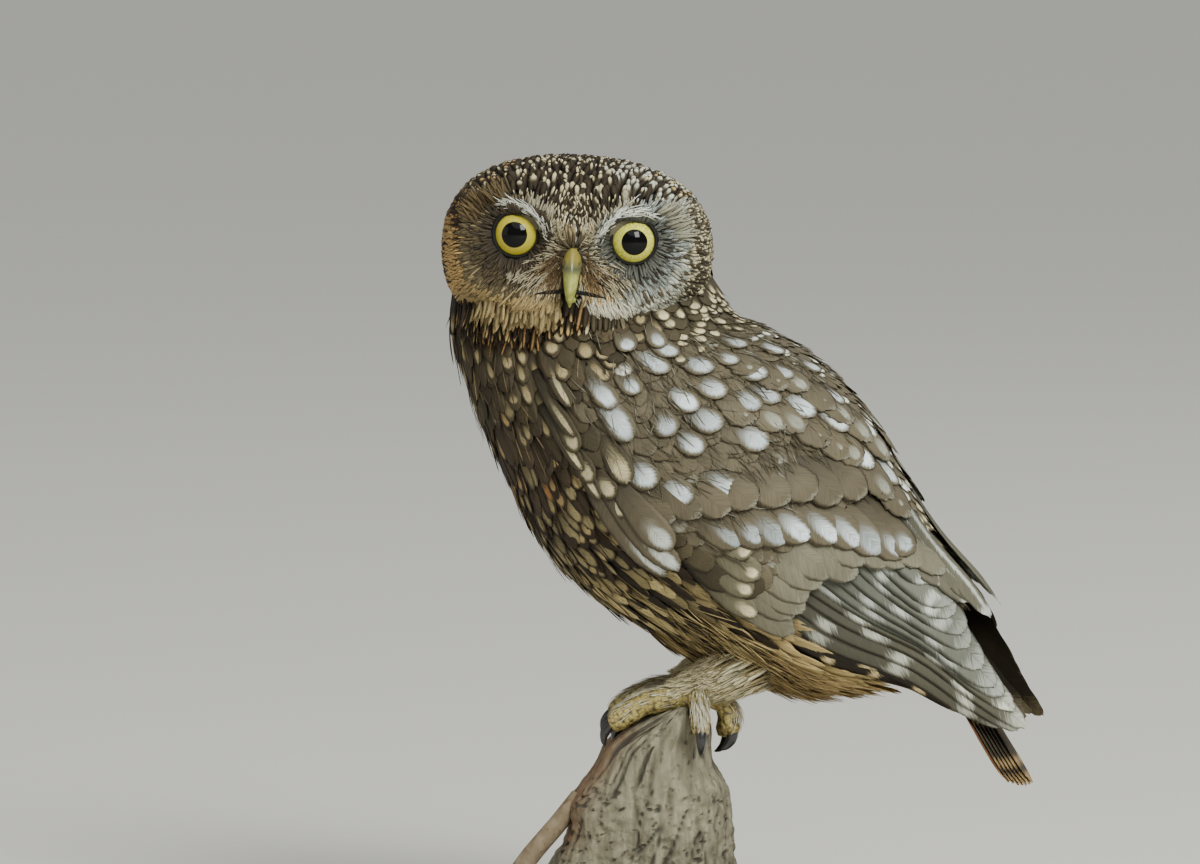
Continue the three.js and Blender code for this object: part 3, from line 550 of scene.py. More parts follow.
def head_look(points):
    """What the head's feathers look like, from their places in the head's own frame."""
    x, y, z = points.T
    n = len(x)
    x = x + rng.normal(0, 0.7, n)
    z = z + rng.normal(0, 0.7, n)
    side = np.abs(x)
    eye = eye_distance(x, z)
    front = y < -4
    looks = look(n, CROWN, CREAM, (0.83, 0.36, 0.15), vary=0.15)
    looks["spot"][:, 1:] *= rng.uniform(0.6, 1.5, (n, 2))
    dress(looks, True, 0.42, CROWN, vary=0.15)
    dress(looks, side > 18, 0.4, CROWN, BUFF, (0.8, 0.4, 0.1), vary=0.15)
    dress(looks, (x > 10) & (y < 6), 0.55, (74, 66, 50), (206, 204, 184), (0.8, 0.5, 0.19))
    behind = y > 6
    dress(looks, behind & (z < 16), 1, OLIVE_DARK, CREAM, (0.78, 0.45, 0.14))
    dress(looks, behind & (z < 16), 0.4, OLIVE_DARK)
    dress(looks, behind & (np.hypot(side - 11, (z - 1) * 1.3) < 6.5), 1, CROWN)
    dress(looks, behind & (line_distance(side, z, (2, -8), (17, -8)) < 3), 0.7, CREAM)
    cheek = front & (z < 12 + 0.1 * side)
    # The left side of the face (x negative), its cheek and chin, is painted darker and browner than the
    # right: partly the bird's own markings, partly painted shade, as that side lies in shadow.
    left, right = cheek & (x < 0), cheek & (x > 0)
    dress(looks, left, 1, (112, 98, 70), OLIVE_DARK, trait=(0.25, 0, 0), vary=0.14)
    dress(looks, left, 0.25, (138, 122, 88))
    dress(looks, left & (eye < 12) & (z < 5), 1, (92, 79, 56), OLIVE_DARK, trait=(0.25, 0, 0))
    crescent = left & (line_distance(-x, z, (33, 4), (29, -11)) < 3.2)
    crescent |= left & (line_distance(-x, z, (29, -11), (19, -18)) < 3.0)
    dress(looks, crescent, 1, TAWNY, BUFF, trait=(0.4, 0, 0), vary=0.15)
    dress(looks, right, 1, (168, 168, 152), OLIVE_DARK, trait=(0.16, 0, 0), vary=0.12)
    dress(looks, right, 0.35, (200, 202, 188), GREY, trait=(0.3, 0, 0))
    dress(looks, right & (eye > 10), 0.2, (78, 68, 50))
    near = right & (eye < 11.5) & (x > EYE_APART / 2 - 3)
    dress(looks, near, 1, (146, 152, 146), OLIVE_DARK, trait=(0.2, 0, 0))
    dress(looks, cheek & (eye < 8.6), 0.6, (60, 54, 44), vary=0.15)
    outer = front & (side > 28) & (z < 14) & ~crescent
    dress(looks, outer, 1, (112, 106, 88), CREAM, (0.8, 0.7, 0.12), vary=0.15)
    dress(looks, outer, 0.45, OLIVE_DARK, vary=0.2)
    dress(looks, outer & (x < 0), 1, UMBER, TAWNY, (0.8, 0.7, 0.12), vary=0.15)
    dress(looks, outer & (x < 0), 0.5, UMBER, vary=0.2)
    lores = cheek & (eye < 11) & (side < EYE_APART / 2)
    dress(looks, lores, 1, (152, 141, 114), GREY, trait=(0.25, 0, 0), vary=0.14)
    tawny = cheek & (side > 3) & (side < 11) & (z < -0.5) & (z > -9)
    dress(looks, tawny & (x > 0), 1, (158, 130, 88), CREAM, trait=(0.2, 0, 0), vary=0.16)
    dress(looks, tawny & (x < 0), 1, (128, 112, 84), CREAM, trait=(0.15, 0, 0), vary=0.16)
    dress(looks, front & (side < 2.2) & (z > -0.8) & (z < 1.8), 1, (76, 62, 42))
    chin = right & (line_distance(side, z, (6, -14.5), (17, -15)) < 5.2)
    chin_left = left & (line_distance(-x, z, (7, -15.5), (25, -12.5)) < 4.6)
    dress(looks, chin_left, 1, (170, 146, 96), (120, 104, 70), trait=(0.2, 0, 0), vary=0.12)
    dress(looks, chin, 1, (208, 204, 180), GREY, trait=(0.15, 0, 0))
    under = (z < -19.5 + 0.16 * side) & (y < 8)
    dress(looks, under, 1, UMBER, BUFF, (0.76, 0.45, 0.2))
    mottled = right & (line_distance(x, z, (18, -19), (34, -11)) < 2.6)
    dress(looks, mottled, 1, UMBER, CREAM, (0.76, 0.6, 0.2))
    between = cheek & (side > 2) & (side < 8) & (z > 1.5) & (z < 8)
    dress(looks, between, 1, (130, 120, 96), CREAM, trait=(0.2, 0, 0), vary=0.14)
    forehead = front & (z > 5) & (side < 2.2 + 1.15 * (z - 5)) & (z < 17)
    dress(looks, forehead, 1, CROWN, CREAM, (0.8, 0.5, 0.2), vary=0.12)
    dress(looks, forehead, 0.5, CROWN, vary=0.15)
    return looks


def in_head_frame(places):
    """Places in the head's own frame, their distance from its middle and the head's radius there."""
    local = (places - HEAD_PLACE) @ HEAD_AXES
    return local, np.linalg.norm(local, axis=1), np.linalg.norm(on_head(local), axis=1)


def paint_skin():
    """The skin takes the ground colours of the feathers that would grow at each of its places."""
    places = points_of(skin)
    in_head, far, radius = in_head_frame(places)
    along, around, _ = place_on_body(places)
    on_trunk, on_top = body_look(along, around), head_look(in_head)
    colours = np.where((far < radius)[:, None], on_top["ground"], on_trunk["ground"]) * 0.55
    shank = (places[:, 2] < 82) & (along > 60) & (np.abs(around) > 150)
    colours[shank] = tone(*CREAM) * 0.6
    put(skin, "plumage", opaque(colours))


paint_skin()


class Wire:
    """An output in a shader tree. A sum of wires and numbers adds the Math nodes that it needs."""

    def __init__(self, socket):
        self.socket = socket

    def maths(self, operation, *values):
        return node(self.socket.id_data, "Math", dict(enumerate(values)), operation=operation)

    def __add__(self, other):
        return self.maths("ADD", self, other)

    def __sub__(self, other):
        return self.maths("SUBTRACT", self, other)

    def __rsub__(self, other):
        return self.maths("SUBTRACT", other, self)

    def __mul__(self, other):
        return self.maths("MULTIPLY", self, other)

    def __truediv__(self, other):
        return self.maths("DIVIDE", self, other)

    def __abs__(self):
        return self.maths("ABSOLUTE", self)

    def held(self):
        """The same, held between 0 and 1."""
        self.socket.node.use_clamp = True
        return self


def give(made, key, value):
    """Sets an input of a node, or links a wire to it."""
    if isinstance(value, Wire):
        made.id_data.links.new(value.socket, made.inputs[key])
    else:
        made.inputs[key].default_value = value


def add_node(tree, kind, inputs=(), **settings):
    """A shader node with its settings, and its inputs set or linked by name or number."""
    made = tree.nodes.new(f"ShaderNode{kind}")
    for key, value in settings.items():
        setattr(made, key, value)
    for key, value in dict(inputs).items():
        give(made, key, value)
    return made


def node(tree, kind, inputs=(), output=0, **settings):
    """The wire from one output of a new node."""
    return Wire(add_node(tree, kind, inputs, **settings).outputs[output])


def speckle(tree, place, scale, detail):
    """A noise over places, or over the object where no place is given."""
    inputs = {"Scale": scale, "Detail": detail}
    return node(tree, "TexNoise", {"Vector": place, **inputs} if place else inputs)


def object_place(tree):
    return node(tree, "TexCoord", output="Object")


def stretched(tree, place, scale):
    return node(tree, "Mapping", {0: place, 3: scale})


def read(tree, name, output):
    """What put() has set at the mesh's points."""
    return node(tree, "Attribute", output=output, attribute_name=name)


def parts(tree, vector):
    return [Wire(socket) for socket in add_node(tree, "SeparateXYZ", {0: vector}).outputs]


def blend(tree, share, first, second, kind="MIX"):
    """A mix of two colours, each a wire or a tone."""
    made = add_node(tree, "Mix", {"Factor": share}, data_type="RGBA", blend_type=kind)
    for key, value in ((6, first), (7, second)):
        give(made, key, value if isinstance(value, Wire) else (*tone(*value), 1))
    return Wire(made.outputs[2])


def rough(shader, height, strength, distance):
    """Lets a height show as relief. The distance is in millimetres."""
    inputs = {"Height": height, "Strength": strength, "Distance": distance * MM}
    give(shader, "Normal", node(shader.id_data, "Bump", inputs))


def new_group(name, inputs, outputs):
    """An empty node group, the wires of its inputs by name, and its output node."""
    tree = bpy.data.node_groups.new(name, "ShaderNodeTree")
    for way, sockets in (("INPUT", inputs), ("OUTPUT", outputs)):
        for socket, kind in sockets.items():
            tree.interface.new_socket(socket, in_out=way, socket_type=f"NodeSocket{kind}")
    given = tree.nodes.new("NodeGroupInput")
    return tree, {key: Wire(given.outputs[key]) for key in inputs}, tree.nodes.new("NodeGroupOutput")


# The barbs run from the shaft outward and towards the tip. Size holds the vane's half width and length
# in millimetres and its own number.
barb_group, given, made = new_group(
    "vane_barbs",
    {"Across": "Float", "Along": "Float", "Size": "Vector"},
    {"Barbs": "Float", "Clumps": "Float", "Shaft": "Float"},
)
half_width, vane_length, number = parts(barb_group, given["Size"])
from_shaft = abs(given["Across"]) * half_width
barb_line = given["Along"] * vane_length - from_shaft * 1.15
for output, fineness, reach in (("Barbs", 4.2, 0.35), ("Clumps", 1.5, 0.25)):
    line = node(barb_group, "CombineXYZ", {0: barb_line * fineness, 1: from_shaft * reach, 2: number * 61})
    give(made, output, speckle(barb_group, line, 1, 2))
give(made, "Shaft", (1 - from_shaft / 0.16).held())

# The marks: Spot and Trait hold the sizes that each feather's look names.
MARK_NUMBERS = ("Across", "Along", "Barbs", "Clumps")
MARK_LOOKS = {"Spot": "Vector", "Trait": "Vector", "Ground": "Color", "Mark": "Color"}
mark_inputs = {**dict.fromkeys(MARK_NUMBERS, "Float"), **MARK_LOOKS}
mark_group, given, made = new_group("vane_marks", mark_inputs, {"Color": "Color"})
across, along, barbs, clumps = (given[key] for key in MARK_NUMBERS)
spot_middle, spot_wide, spot_long = parts(mark_group, given["Spot"])
streak, bars, rim = parts(mark_group, given["Trait"])
fine = barbs - 0.5
ragged = clumps - 0.5 + fine
aside = across / spot_wide
tipward = (along - spot_middle) / spot_long
rootward = across.maths("MAXIMUM", tipward * -0.55, 0)
ahead = across.maths("MAXIMUM", tipward, 0) + rootward
far = across.maths("SQRT", aside * aside + ahead * ahead)
far = far + ragged * (rootward * 1.8 + 0.5)
spotted = ((1.1 - far) / (rootward * 0.8 + 0.35)).held()
spotted = spotted * (fine * 0.9 + (tipward * 0.4 + 0.78).held()).held()
streaked = ((streak - (abs(across) + ragged * 0.5)) / 0.2).held()
bar_place = across.maths("FRACT", along * bars + 0.62)
bar_edge = 0.16 - abs(bar_place - 0.5) + ragged * 0.22
barred = (bar_edge / 0.13).held() * ((across - 0.06) / 0.1).held()
barred = barred * across.maths("GREATER_THAN", bars, 0.5)
rimmed = ((along + ragged * 0.08 - 0.93) / 0.04).held() * rim
marked = across.maths("MAXIMUM", spotted, streaked)
marked = across.maths("MAXIMUM", marked, across.maths("MAXIMUM", barred, rimmed))
give(made, "Color", blend(mark_group, marked, given["Ground"], given["Mark"]))


def plumage(name, roughness, barbs, shaft, relief=0.25, edge=0.0):
    """A material for vanes: barbs, shaft and edge set how much they show in the colour; the dark edge is
    partly painted shadow.
    """
    material, tree, shader = new_material(name, roughness, Specular_IOR_Level=0.3)
    across, along, _ = parts(tree, node(tree, "UVMap", uv_map="vane"))
    across = across * 2 - 1
    own = {"Across": across, "Along": along}
    barb = add_node(tree, "Group", node_tree=barb_group)
    for key, value in {**own, "Size": read(tree, "size", "Vector")}.items():
        give(barb, key, value)
    fine, clumps, rib = (Wire(socket) for socket in barb.outputs)
    own.update(Barbs=fine, Clumps=clumps)
    own.update({key: read(tree, key.lower(), kind) for key, kind in MARK_LOOKS.items()})
    marks = add_node(tree, "Group", node_tree=mark_group)
    for key, value in own.items():
        give(marks, key, value)
    shade = fine * (barbs * 1.3) + clumps * (barbs * 0.9) + (1 - 1.1 * barbs)
    # Each vane is painted darker towards its root: painted shade where it lies under the feathers above it.
    shade = shade * ((along * 0.9).held() + 0.35).held()
    shade = shade * (1 - rib * shaft)
    # The outer edge is painted darker: partly the feathers' own dark edge, partly painted shadow of the gaps
    # between them.
    shade = shade * (1 - ((across - 0.72) / 0.28).held() * edge)
    shade = shade * (speckle(tree, object_place(tree), 75, 3) * 0.6 + 0.7)
    grey = node(tree, "CombineColor", {0: shade, 1: shade, 2: shade})
    give(shader, "Base Color", blend(tree, 1.0, Wire(marks.outputs["Color"]), grey, "MULTIPLY"))
    rough(shader, fine + clumps * 1.2, relief, 0.4)
    return material


skin_paint, tree, shader = new_material("skin_under_down", 0.9)
skin_grain = speckle(tree, None, 900, 3)
give(shader, "Base Color", blend(tree, 0.5, read(tree, "plumage", "Color"), skin_grain, "MULTIPLY"))
rough(shader, skin_grain, 0.5, 0.3)
keep(skin, skin_paint, "body_plumage", "torso", "neck", "head", "leg_left", "leg_right")

# Body feathers
# Small contour feathers in staggered rows from the neck to the vent. Each is a closed, slightly crowned
# vane with a frayed edge, rooted under the coat and lying along the body over the next row's roots.
SMALL_VANE = (7, 5)  # rows and columns of points
LOOKS = ("ground", "mark", "spot", "trait", "size")
HEAD_OVERLAP = -9
ROOT_DEPTH = 2.0
WING_EDGE = [(20, 98), (26, 104), (36, 109), (60, 110), (90, 110), (124, 110)]


def vane_shape(count, rows, cols, root=0.4, widest=0.6, blunt=0.16, fray=0.14):
    """Shares across and along of the points of a number of vanes, with uneven edges."""
    t = np.linspace(0, 1, rows)
    along = 1 - (1 - t) ** 1.45
    swell = root + (1 - root) * step(along, -0.05, widest)
    beyond = np.clip((along - widest) / (1 - widest), 0, 1)
    half = swell * np.maximum(np.sqrt(1 - beyond**2.2), blunt)
    edges = 1 - fray * rng.random((count, rows, 2)) * step(along, 0, 0.4)[None, :, None]
    across = np.linspace(-1, 1, cols)[None, None] * half[None, :, None]
    across = np.where(across < 0, across * edges[..., :1], across * edges[..., 1:])
    slip = fray * 0.35 * (rng.random((count, rows, cols)) - 0.7) * step(along, 0.5, 1)[None, :, None]
    return across, np.broadcast_to(along[None, :, None], across.shape) + slip


def lay_on_body(starts, ends, half, across, along, lift):
    """Vanes on the body from start to end, each [along, around], with half widths in millimetres."""
    starts, ends = starts[:, :, None, None], ends[:, :, None, None]
    s = mix(starts[:, 0], ends[:, 0], along)
    a = mix(starts[:, 1], ends[:, 1], along)
    middle = mix(starts, ends, 0.65)
    ahead = ends[:, 0] - starts[:, 0]
    aside = (ends[:, 1] - starts[:, 1]) * degree_length(middle[:, 0], middle[:, 1])
    length = np.hypot(ahead, aside)
    off = across * each(half)
    return on_body(s - aside / length * off, a + ahead / length * off / degree_length(s, a), lift)


def body_patch(roots):
    """Where roots [along, around] fall on the unwrap of the skin."""
    return np.stack([0.02 + 0.96 * roots[:, 0] / 190, 0.02 + 0.5 * (roots[:, 1] + 180) / 360], -1)


def batch(grid, across, along, half, length, looks, patches, patch=0.003, web=1):
    """One kind of vanes for a piece: their points, their places on the vane and their looks."""
    count = len(grid)
    seeds = rng.random(count)
    vane = np.stack([0.5 + 0.5 * web * across, along], -1)
    size = np.stack([np.broadcast_to(half, count), np.broadcast_to(length, count), seeds], -1)
    baked = patches[:, None, None] + (vane - 0.5) * patch
    return {"grid": grid, "vane": vane, "OFBake": baked, **looks, "size": size}


def vane_piece(name, batches, material, slot, *replaced):
    """One object of many closed vanes, with their looks and maps on it."""
    sides, corners, flat, base = [], [], [], 0
    for part in batches:
        count, rows, cols = part["grid"].shape[:3]
        k = (np.arange(rows - 1)[:, None] * cols + np.arange(cols - 1)).ravel()
        edge = np.arange(rows - 1) * cols
        top = np.stack([k, k + cols, k + cols + 1, k + 1], -1)
        under = np.stack([edge, edge + cols - 1, edge + 2 * cols - 1, edge + cols], -1)
        root = np.arange(cols)
        tip = (rows - 1) * cols + root[::-1]
        own_corners = np.concatenate([top.ravel(), under.ravel(), root, tip])
        starts = base + np.arange(count)[:, None] * rows * cols
        corners.append((starts + own_corners).ravel())
        sides.append(np.tile([4] * (len(top) + len(under)) + [cols] * 2, count))
        flat.append(np.tile([True] * len(top) + [False] * (len(under) + 2), count))
        base += count * rows * cols
    corners = np.concatenate(corners)
    places = np.vstack([p["grid"].reshape(-1, 3) for p in batches])
    made = mesh_object(name, places, np.concatenate(sides), corners)
    made.data.polygons.foreach_set("use_smooth", np.concatenate(flat))
    for key in LOOKS:
        values = np.vstack([np.repeat(p[key], np.prod(p["grid"].shape[1:3]), axis=0) for p in batches])
        put(made, key, opaque(values) if key in ("ground", "mark") else values)
    for key in ("vane", "OFBake"):
        spread = np.vstack([p[key].reshape(-1, 2) for p in batches])
        layer = made.data.uv_layers.new(name=key)
        layer.data.foreach_set("uv", spread[corners].astype(np.float32).ravel())
    keep(made, material, slot, *replaced)


def body_rows(alongs, low, high, gap):
    """Roots in staggered rows over the body between two arounds, [along, around]."""
    roots = []
    for number, along in enumerate(alongs):
        span = (high - low) * float(degree_length(np.array(along), np.array((low + high) / 2)))
        count = max(3, round(span / gap))
        places = low + (np.arange(count) + 0.5 * (number % 2)) * (high - low) / count
        roots.append(np.column_stack([np.full(count, along), places]))
    roots = np.vstack(roots)
    roots[:, 0] += rng.normal(0, 0.5, len(roots))
    roots[:, 1] += rng.normal(0, 0.9, len(roots))
    return roots


def body_feathers(
    roots, length, half, looks, low, high, sway, tuft, fray=0.16, crown=0.16, rows_cols=SMALL_VANE
):
    """A batch of contour feathers: low and high are the heights over the envelope of roots and tips."""
    count = len(roots)
    length = length * (1 + 0.1 * rng.normal(0, 1, count))
    half = half * (1 + 0.08 * rng.normal(0, 1, count))
    heading = np.radians(rng.normal(0, sway, count))
    ends = roots.copy()
    ends[:, 0] += length * np.cos(heading)
    ends[:, 1] += length * np.sin(heading) / degree_length(roots[:, 0], roots[:, 1])
    across, along = vane_shape(count, *rows_cols, fray=fray)
    low, high = (each(np.broadcast_to(lift, count)) for lift in (low, high))
    high = high + each(rng.normal(0, tuft, count))
    crown = crown * each(half) * (1 - across**2) * (1 - 0.5 * along)
    tilt = each(rng.normal(0, 0.1, count)) * across
    grid = lay_on_body(roots, ends, half, across, along, mix(low, high, along**0.8) + crown + tilt)
    return batch(grid, across, along, half, length, looks, body_patch(roots))


def under_head(points, margin):
    """Which points in the world lie inside the head, or nearer than margin to it."""
    _, far, radius = in_head_frame(points)
    return far < radius + margin


def sunk(along, around):
    """How far roots lie under the envelope, also where the rump is sunk under the wings."""
    return -ROOT_DEPTH - rump_depth(along, around)


def closing_in(along):
    """How much lower the coat lies where the body closes behind the legs."""
    shut = np.clip((along - SHUT_FROM) / SHUT_OVER, 0, 1)
    return -envelope_at(along)[:, 5] * (1 - np.sqrt(np.maximum(1 - shut**2, 0.12)))


def beside_belly(roots):
    """The same roots with their arounds between -180 and 180."""
    return np.column_stack([roots[:, 0], (roots[:, 1] + 180) % 360 - 180])


wing_edge = smooth_rows(WING_EDGE)
body_coat = plumage("body_feathers", 0.78, barbs=0.7, shaft=0.15)
roots = body_rows(np.arange(2, 146, 4.0), 94, 266, 3.2)
roots = beside_belly(roots[~under_head(on_body(*roots.T, -3.0), HEAD_OVERLAP)])
s, a = roots[:, 0], np.abs(roots[:, 1])
roots = roots[~((s > 24) & (a < wing_edge(s)[:, 0] - 5))]
s, a = roots[:, 0], np.abs(roots[:, 1])
closing = closing_in(s)
loose = step(s, 50, 100)
dark = on_stripe(*roots.T) & (s > 58)
under_wing = mix(1.3, 2.0, step(s, 80, 110)) * bell(a - mix(104, 113, step(s, 80, 120)), 9)
front = body_feathers(
    roots,
    mix(11.5, 17, loose),
    np.where(dark, 1.45, mix(3.1, 2.2, loose)),
    body_look(*roots.T),
    sunk(*roots.T) + closing,
    -0.5 + closing * 0.9 - under_wing + 0.25 * dark,
    4,
    0.1,
    fray=0.14,
    crown=0.08,
)
vane_piece("breast_and_belly_feathers", [front], body_coat, "body_plumage")
roots = body_rows(np.arange(-2, 136, 3.6), -100, 100, 3.5)
in_wing = (roots[:, 0] > 26) & (np.abs(roots[:, 1]) > 22)
roots = roots[~in_wing & ~under_head(on_body(*roots.T, -2.0), HEAD_OVERLAP)]
back = body_feathers(roots, 11.5, 3.4, body_look(*roots.T), sunk(*roots.T), sunk(*roots.T) + 1.9, 6, 0.12)
vane_piece("back_feathers", [back], body_coat, "body_plumage")

# Down and loose barbs
# Fine hair-like strands over the breast, the belly and the neck, and the long soft down that hangs at the
# vent behind the legs.
STRAND = (6, 3)
# count, alongs, arounds, length, half width, height of the tips, colour
DOWN = [
    (700, (8, 104), (114, 246), 8.0, 0.13, 0.1, (118, 100, 66)),
    (1500, (84, 128), (126, 234), 13.0, 0.1, 1.8, (166, 142, 94)),
    (260, (2, 28), (-96, 96), 7.5, 0.1, 0.5, (140, 130, 104)),
]


def body_strands(count, alongs, arounds, length, half, rise, ground):
    """Hair-like strands that stand a little off the body and soften its outline."""
    roots = beside_belly(np.column_stack([rng.uniform(*alongs, count), rng.uniform(*arounds, count)]))
    roots = roots[~under_head(on_body(*roots.T, -2.0), -4)]
    closing = closing_in(roots[:, 0])
    looks = body_look(*roots.T)
    looks["ground"][chance(0.3, len(roots))] = tone(*ground)
    looks["trait"][:] = PLAIN
    looks["spot"][:] = NO_SPOT
    low, high = -1.2 + closing, rise + closing * 0.9
    return body_feathers(roots, length, half, looks, low, high, 12, 0.5, 0.05, rows_cols=STRAND)


down_coat = plumage("down", 0.85, barbs=0.3, shaft=0.0)
vane_piece("down_strands", [body_strands(*row) for row in DOWN], down_coat, "body_plumage")

# Wings
# Folded wings in tiers, as on the bird: small coverts over the shoulder, median and greater coverts, the
# bastard wing's three feathers, the scapulars over the wing's root and the long flight feathers, each
# lying under its inner neighbour. The tiers' roots and tips are the same curves as in the solids.
LARGE_VANE = (24, 9)
RIGHT_WING_RAISE = 2.2
FLIGHT_TIPS = [
    *((0, 154, 116), (0.08, 165, 113), (0.17, 174, 101), (0.25, 178, 82), (0.33, 175, 70)),
    *((0.42, 169, 64), (0.6, 157, 56), (0.75, 147, 46), (0.9, 137, 37), (1, 129, 29)),
]
# Coverts from the lowest tier up: (share, along, around) of roots and of tips, (share, width), heights of
# roots and tips, tilt, step from each to the next, and shape
PRIMARY_COVERTS = (
    [(0, 84, 107), (0.2, 82, 96), (0.45, 84, 80), (0.7, 94, 58), (1, 105, 30)],
    [(0, 114, 109), (0.2, 112, 95), (0.45, 113, 76), (0.7, 121, 54), (1, 134, 28)],
    *([(0, 10), (1, 12)], (-1.9, -0.35), 0.35),
)
SPOTTED_PRIMARY_COVERTS = (
    [(0, 84, 108), (1, 78, 92)],
    [(0, 105, 109), (0.35, 101, 102), (0.7, 99, 95), (1, 95, 91)],
    *([(0, 8), (1, 9)], (-1.5, 0.0), 0.2),
)
GREATER_COVERTS = (
    [(0, 68, 90), (0.25, 74, 79), (0.5, 84, 64), (0.75, 94, 50), (1, 103, 36)],
    [(0, 91, 88), (0.25, 98, 77), (0.5, 108, 63), (0.75, 117, 50), (1, 125, 36)],
    *([(0, 10.5), (1, 12)], (-1.3, 0.35), 0.3),
)
MEDIAN_COVERTS = (
    [(0, 50, 103), (0.3, 58, 88), (0.6, 71, 68), (1, 84, 42)],
    [(0, 70, 103), (0.3, 79, 86), (0.6, 90, 66), (1, 104, 40)],
    *([(0, 9), (1, 12)], (-1.1, 0.55), 0.2, 0.1, {"fray": 0.1}),
)
TERTIALS = (
    [(0, 108, 34), (1, 100, 13)],
    [(0, 138, 31), (0.35, 145, 25), (0.7, 149, 20), (1, 151, 16)],
    *([(0, 12), (1, 12)], (-1.2, 0.3), 0.3, 0.2, {"root": 0.6, "widest": 0.75, "fray": 0.05}),
)
BASTARD_WING = (
    [(0, 46, 108), (1, 52, 100)],
    [(0, 83, 114), (1, 77, 103)],
    *([(0, 7.5), (1, 9.5)], (-0.6, 1.3), 0.3, 0.25, {"fray": 0.08}),
)
# count, height of the tips, roots and tips
SCAPULARS = [
    (8, 0.4, [(0, 46, 50), (0.5, 66, 36), (1, 92, 24)], [(0, 68, 51), (0.5, 90, 35), (1, 116, 21)]),
    (7, 0.5, [(0, 36, 34), (0.5, 56, 23), (1, 78, 14)], [(0, 56, 36), (0.5, 78, 23), (1, 100, 11)]),
]
# along, around, width, length and brightness of each large pale spot on the scapulars and smaller coverts
SPOTS = [
    *((21.5, 67, 3.2, 3.5, 0.8), (23, 55, 2.8, 5, 0.6), (28, 53, 3.6, 6, 0.7), (31, 61, 4, 8.5, 0.75)),
    *((38, 27, 3.6, 6, 0.45), (39.5, 48, 4.8, 7, 0.7), (43, 38, 3.5, 5, 0.4), (48.5, 17, 4, 7, 0.75)),
    *((49.5, 52, 4.4, 7, 0.55), (52, 35, 5.6, 8, 0.8), (57, 62, 5.2, 7.5, 0.55), (59, 26, 3.8, 5.5, 0.4)),
    *((60, 47, 4.4, 7, 0.45), (62, 39, 4, 7, 0.5), (63, 9, 3.5, 5, 0.7), (72, 33, 5.4, 8, 1)),
    *((70.5, 56, 5.4, 7, 0.75), (76, 14, 3.6, 5.5, 0.6), (81.5, 24, 5.2, 8.5, 1), (89, 8, 4.2, 7, 0.9)),
    *((95, 24, 5.2, 7.5, 1), (103, 14, 4.4, 7, 0.8), (47.5, 63, 4.2, 8, 1), (51, 75, 4.4, 5, 0.5)),
    *((60, 72, 4.2, 6, 0.85), (34, 85, 3.8, 7, 0.75), (42, 87, 5, 11, 0.8), (35, 75, 3.3, 4.6, 0.7)),
    *((52, 97, 4.2, 9, 0.85), (58.5, 91, 5.4, 6, 0.75), (68, 87, 4.6, 6.5, 0.75), (76, 77, 5.8, 8.5, 0.9)),
    *((84.5, 62, 5, 6.5, 0.5), (40.5, 106, 3, 4.2, 0.6), (48.5, 107, 3.2, 4.6, 0.65)),
    *((55, 104, 3.6, 4.2, 0.75), (60, 106, 3.6, 5, 0.7), (28, 99, 1.5, 8, 0.8), (35, 104, 1.5, 8, 0.8)),
    *((43, 108, 1.6, 8, 0.8), (51, 109, 1.6, 8, 0.8)),
]


def atlas(count):
    """Middles and size of the cells of a square sheet with a place for each of a few large vanes."""
    rows = math.ceil(math.sqrt(count))
    k = np.arange(count)
    return np.stack([(k % rows + 0.5) / rows, (k // rows + 0.5) / rows], -1), 0.9 / rows


def tier(side, looks, roots, tips, widths, lifts, tilt, stacked=0.1, shape=(), rows_cols=LARGE_VANE):
    """A tier of large vanes on one wing, from the lowest to the highest, each over the one before."""
    count = len(looks["ground"])
    share = np.linspace(0, 1, count)
    starts = smooth_rows(roots)(share) * (1, side)
    ends = smooth_rows(tips)(share) * (1, side)
    ends += rng.normal(0, 1, (count, 2)) * (1.2, 0.8)
    half = smooth_rows(widths)(share)[:, 0] / 2
    across, along = vane_shape(count, *rows_cols, **{"root": 0.5, "widest": 0.7, "fray": 0.07, **dict(shape)})
    height = mix(lifts[0], lifts[1] + stacked * each(np.arange(count)), np.minimum(1, along * 1.25))
    height = height + tilt * across * side + 0.09 * each(half) * (1 - across**2)
    grid = lay_on_body(starts, ends, half, across, along, height)
    if side > 0:
        s = mix(starts[:, :1, None], ends[:, :1, None], along)
        leaned = np.radians(envelope_at(s)[..., 3])
        raised = RIGHT_WING_RAISE * step(s, 90, 165)
        grid = grid + np.stack([raised * np.cos(leaned), 0 * s, raised * np.sin(leaned)], -1)
    length = np.linalg.norm(grid[:, -1, 0] - grid[:, 0, 0], axis=1)
    return batch(grid, across, along, half, length, looks, *atlas(count), web=side)


def flight_feathers(side):
    """Grey-brown inner feathers with pale spots, and dark outer ones with cream bars."""
    count = 15
    # The far right wing gets many more dark feathers and fainter pale rims than the near left one: painted
    # shade, as it lies in shadow behind the body. The near wing's few dark outer feathers are the bird's own
    # colour.
    dark, pale_rim = (0.13, 0.7) if side < 0 else (0.7, 0.1)
    order = np.arange(count)
    looks = look(count, (99, 100, 88), (176, 178, 168), trait=(-1, 3.2, 0.45), vary=0.05)
    dress(looks, order < 0.4 * count, 1, (88, 85, 71), (204, 204, 188), trait=(-1, 4.2, 0.4))
    dress(looks, order < dark * count, 1, (40, 34, 24), (218, 196, 146), trait=(-1, 6, pale_rim))
    looks["trait"][(order > max(0.25, dark) * count) & (order < 0.6 * count), 2] = 0.6
    looks["trait"][:, 1] += rng.normal(0, 0.3, count)
    roots = [(0, 80, 108), (0.5, 84, 80), (1, 98, 33)]
    widths = [(0, 9), (0.3, 10), (0.6, 13), (1, 15)]
    shape = {"root": 0.6, "widest": 0.8, "fray": 0.03}
    return tier(side, looks, roots, FLIGHT_TIPS, widths, (-3.4, -2.0), 0.6, 0.14, shape, (30, 9))


